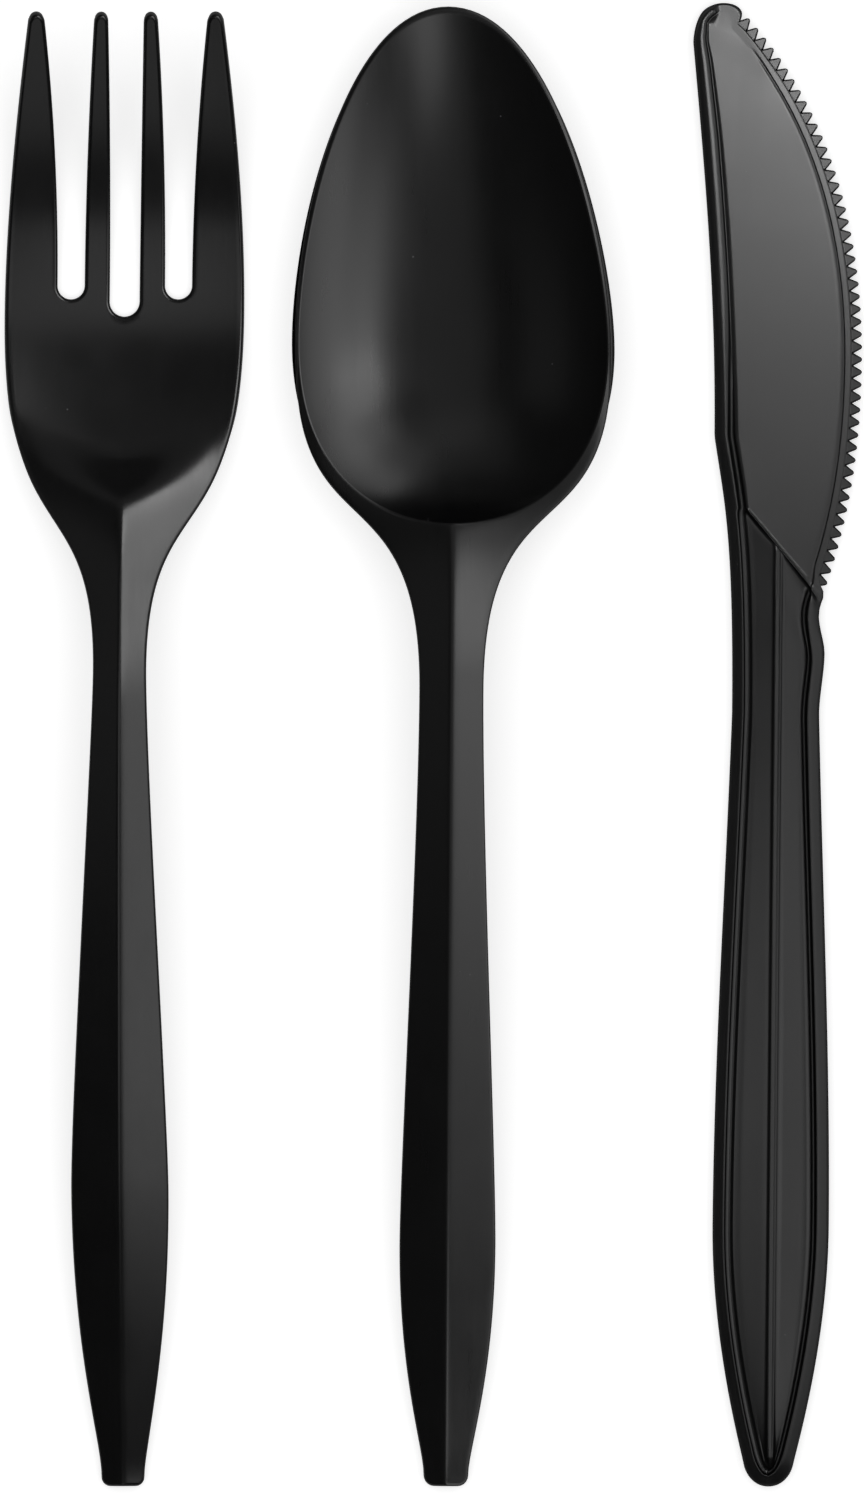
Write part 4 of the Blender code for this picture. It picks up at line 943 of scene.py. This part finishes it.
def toothShape(s, material):
    # stations along the tooth from its root to its tip: distance back, half width, half height
    back = s["depth"] + s["root"]
    stations = [(back, s["halfPitch"], s["height"]), (s["depth"], s["halfPitch"], s["height"])]
    for t in (0.33, 0.66, 0.88):
        stations.append((s["depth"] * (1 - t), s["halfPitch"] + (s["tipHalf"] - s["halfPitch"]) * t,
                         s["height"] + (s["tipHeight"] - s["height"]) * t))
    stations += [(0.05, s["tipHalf"] * 0.8, s["tipHeight"] * 0.9),
                 (0.0, s["tipHalf"] * 0.4, s["tipHeight"] * 0.6)]
    mesh = bmesh.new()
    loops = []
    for x, half, high in stations:
        inset = min(s["chamfer"], half * 0.6)
        section = [(-half, 0), (-half + inset * 0.5, high * 0.7), (-half + inset, high)]
        section += [(-y, z) for y, z in section[::-1]]
        section += [(y, -z) for y, z in section[-2:0:-1]]
        loops.append([mesh.verts.new(Vector((-x, y, z)) * mm) for y, z in section])
    for a, b in zip(loops, loops[1:]):
        for i in range(len(a)):
            j = (i + 1) % len(a)
            mesh.faces.new((a[i], a[j], b[j], b[i]))
    mesh.faces.new(loops[0])
    mesh.faces.new(loops[-1])
    bmesh.ops.recalc_face_normals(mesh, faces=mesh.faces)
    return addPiece("toothShape", mesh, material)


def lineCurve(name, points):
    curve = bpy.data.curves.new(name, 'CURVE')
    curve.dimensions = '3D'
    spline = curve.splines.new('POLY')
    spline.points.add(len(points) - 1)
    for item, point in zip(spline.points, points):
        item.co = (*point, 1)
    item = bpy.data.objects.new(name, curve)
    bpy.context.scene.collection.objects.link(item)
    return item


def toothTree(shape, material):
    # a group that sets copies of one tooth along a curve, leaning with the edge's own turn
    tree = bpy.data.node_groups.new("toothRow", 'GeometryNodeTree')
    sockets = {}
    for name, kind, way in (("Line", "NodeSocketGeometry", 'INPUT'),
                            ("Teeth", "NodeSocketInt", 'INPUT'),
                            ("Lean", "NodeSocketFloat", 'INPUT'),
                            ("Row", "NodeSocketGeometry", 'OUTPUT')):
        sockets[name] = tree.interface.new_socket(name, in_out=way, socket_type=kind).identifier
    given = tree.nodes.new("NodeGroupInput")
    result = tree.nodes.new("NodeGroupOutput")

    def entry(name):
        return Sock(tree, given.outputs[name])
    line = addNode(tree, "GeometryNodeResampleCurve", {},
                   {"Curve": entry("Line"), "Count": entry("Teeth")})
    dots = addNode(tree, "GeometryNodeCurveToPoints", {"mode": 'EVALUATED'}, {"Curve": line},
                   "Points")
    tangent = Sock(tree, dots.socket.node.outputs["Tangent"])
    along = addNode(tree, "ShaderNodeSeparateXYZ", {}, [tangent])
    up = Sock(tree, along.socket.node.outputs[1])
    angle = (up.join("ARCTAN2", up, along) + math.pi / 2) * entry("Lean")
    spin = addNode(tree, "ShaderNodeCombineXYZ", {}, {"Z": angle})
    tooth = addNode(tree, "GeometryNodeObjectInfo", {"transform_space": 'ORIGINAL'},
                    {"Object": shape}, "Geometry")
    row = addNode(tree, "GeometryNodeInstanceOnPoints", {},
                  {"Points": dots, "Instance": tooth, "Rotation": spin})
    solid = addNode(tree, "GeometryNodeRealizeInstances", {}, {"Geometry": row})
    done = addNode(tree, "GeometryNodeSetMaterial", {}, {"Geometry": solid, "Material": material})
    plug(tree, result.inputs["Row"], done)
    return tree, sockets


def makeTeeth(s, tips, material):
    shape = toothShape(s, material)
    line = lineCurve("toothLine", [putKnife(*p, s["level"]) for p in tips])
    tree, sockets = toothTree(shape, material)
    change = line.modifiers.new("teeth", 'NODES')
    change.node_group = tree
    change[sockets["Teeth"]] = s["count"]
    change[sockets["Lean"]] = s["lean"]
    bpy.context.view_layer.update()
    depsgraph = bpy.context.evaluated_depsgraph_get()
    data = bpy.data.meshes.new_from_object(line.evaluated_get(depsgraph))
    data.name = "knifeTeeth"
    data.shade_flat()
    teeth = bpy.data.objects.new("knifeTeeth", data)
    bpy.context.scene.collection.objects.link(teeth)
    bpy.data.objects.remove(line)
    bpy.data.objects.remove(shape)
    return teeth


knifeTeeth = makeTeeth(toothSizes, toothTips, knifePlastic)
print("teeth made", len(knifeTeeth.data.polygons))


# Each piece rides on the set's one body and stands for its own solid
for piece, node, slot in ((forkBody, "fork", "fork_plastic"),
                          (spoonBody, "spoon", "spoon_plastic"),
                          (knifeBody, "knife", "knife_plastic"),
                          (knifeTeeth, "knife", "knife_plastic")):
    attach(piece, "root")
    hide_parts(node)


# Table, light and camera
studio = {"floorHalf": 4.0, "floorGrey": 0.8, "floorGlow": 0.6, "world": 0.03}

# each lamp: place, aim on the table, size, brightness (1 looks white) and what it lights
lamps = {
    "forkMid": ((0.56, -0.03, 0.45), (0, -0.03), (0.44, 0.36), 1.0, "fork"),
    "forkNeck": ((0.355, 0.28, 0.55), (-0.03, 0.02), (0.38, 0.37), 2.7, "fork"),
    "ridgeCard": ((0.21, 0.3, 0.53), (-0.03, 0.02), (0.12, 0.12), 3.8, "fork"),
    "forkFront": ((0, -0.6, 0.45), (-0.03, 0.05), (0.5, 0.35), 0.4, "fork"),
    "forkCard": ((-0.04, -0.02, 0.5), (-0.04, -0.02), (0.22, 0.32), 0.6, "fork"),
    "spoonMid": ((0.56, 0.025, 0.45), (0, 0.025), (0.34, 0.36), 1.03, "spoon"),
    "pairTop": ((0.46, 0, 0.56), (0, 0), (0.44, 0.28), 0.35, "pair"),
    "pairSoft": ((0.33, 0.03, 0.66), (0, 0.03), (0.5, 0.3), 0.2, "pair"),
    "spoonNeck": ((0.55, 0.2, 0.47), (0, 0.02), (0.26, 0.36), 2.2, "spoon"),
    "spoonHigh": ((0.5, 0.43, 0.42), (0, 0.05), (0.28, 0.36), 1.15, "spoon"),
    "spoonRear": ((0.3, 0.6, 0.42), (0, 0.05), (0.34, 0.34), 0.45, "spoon"),
    "spoonFront": ((0.24, -0.5, 0.43), (0, 0.06), (0.36, 0.34), 1.15, "spoon"),
    "bowlTop": ((0.15, -0.36, 0.62), (0, 0.07), (0.22, 0.2), 1.5, "spoon"),
    "lowFront": ((0.45, -0.5, 0.2), (0, 0.05), (0.66, 0.34), 1.1, "spoon"),
    "lowRight": ((0.72, 0.05, 0.2), (0, 0.05), (0.6, 0.34), 1.2, "spoon"),
    "lowRear": ((0.5, 0.6, 0.2), (0, 0.05), (0.66, 0.34), 1.1, "spoon"),
    "spoonCard": ((0, 0.08, 0.45), (0, 0.08), (0.2, 0.8), 0.2, "spoon"),
    "knifeBox": ((0.66, 0.1, 0.48), (0.03, 0), (0.8, 0.6), 0.8, "knife"),
    "bladeCard": ((0.066, 0.105, 0.2), (0.066, 0.105), (0.07, 0.07), 9.0, "knife"),
    "bladeBase": ((0.068, 0.07, 0.2), (0.068, 0.07), (0.08, 0.1), 1.0, "knife"),
    "handleCard": ((0.12, -0.052, 0.2), (0.04, -0.052), (0.1, 0.09), 1.3, "knife"),
    "panelCard": ((-0.045, -0.038, 0.2), (0.035, -0.038), (0.06, 0.11), 1.25, "knife"),
    "leftCard": ((-0.6, 0.12, 0.55), (0, 0.02), (0.4, 0.4), 0.12, "pieces"),
    "backCard": ((-0.05, 0.5, 0.5), (-0.03, 0.03), (0.5, 0.4), 0.12, "pieces"),
    "fill": ((0, 0, 1.6), (0, 0), (2.6, 2.6), 1.3, "floor")}


def makeFloor(s):
    material, tree, out = newMaterial("floorWhite")
    diffuse = addNode(tree, "ShaderNodeBsdfDiffuse", {}, {"Color": (s["floorGrey"],) * 3 + (1,)})
    rays = tree.nodes.new("ShaderNodeLightPath")
    seen, shiny, through = [Sock(tree, rays.outputs["Is %s Ray" % kind])
                            for kind in ("Camera", "Glossy", "Transmission")]
    glow = addNode(tree, "ShaderNodeEmission", {},
                   {"Strength": (seen + shiny + through) * s["floorGlow"]})
    plug(tree, out.inputs["Surface"], addNode(tree, "ShaderNodeAddShader", {}, [diffuse, glow]))
    mesh = bmesh.new()
    bmesh.ops.create_grid(mesh, x_segments=1, y_segments=1, size=s["floorHalf"])
    floor = addPiece("floor", mesh, material)
    return floor


floor = makeFloor(studio)

world = bpy.data.worlds.new("studioWorld")
bpy.context.scene.world = world
world.use_nodes = True
world.node_tree.nodes["Background"].inputs["Color"].default_value = (1, 1, 1, 1)
world.node_tree.nodes["Background"].inputs["Strength"].default_value = studio["world"]


def addLamp(name, at, target, size, radiance, use):
    # a soft rectangle; one made for a single piece lights only that, and the fill gives no glints
    lamp = bpy.data.lights.new(name, 'AREA')
    lamp.shape = 'RECTANGLE'
    lamp.size, lamp.size_y = size
    lamp.energy = radiance * math.pi * size[0] * size[1]
    item = bpy.data.objects.new(name, lamp)
    bpy.context.scene.collection.objects.link(item)
    item.location = at
    run = Vector((*target, 0)) - Vector(at)
    item.rotation_euler = run.to_track_quat('-Z', 'Y').to_euler()
    item.visible_camera = False
    item.visible_glossy = use != "floor"
    lit = {"fork": [forkBody], "spoon": [spoonBody], "knife": [knifeBody, knifeTeeth],
           "pair": [forkBody, spoonBody],
           "pieces": [forkBody, spoonBody, knifeBody, knifeTeeth]}.get(use)
    if lit:
        group = bpy.data.collections.new(name + "Pieces")
        for piece in lit:
            group.objects.link(piece)
        item.light_linking.receiver_collection = group


for name, lampSizes in lamps.items():
    addLamp(name, *lampSizes)

view = {"lens": 600, "sensor": 36, "frameHeight": 166.67, "centre": (-0.056, -0.556), "level": 5}
camera = bpy.data.cameras.new("camera")
camera.lens = view["lens"]
camera.sensor_width = view["sensor"]
lookout = bpy.data.objects.new("camera", camera)
bpy.context.scene.collection.objects.link(lookout)
rise = view["lens"] * view["frameHeight"] / view["sensor"] + view["level"]
lookout.location = Vector((view["centre"][0], view["centre"][1], rise)) * mm
bpy.context.scene.camera = lookout
bpy.context.scene.view_settings.view_transform = 'Standard'
print("studio made")
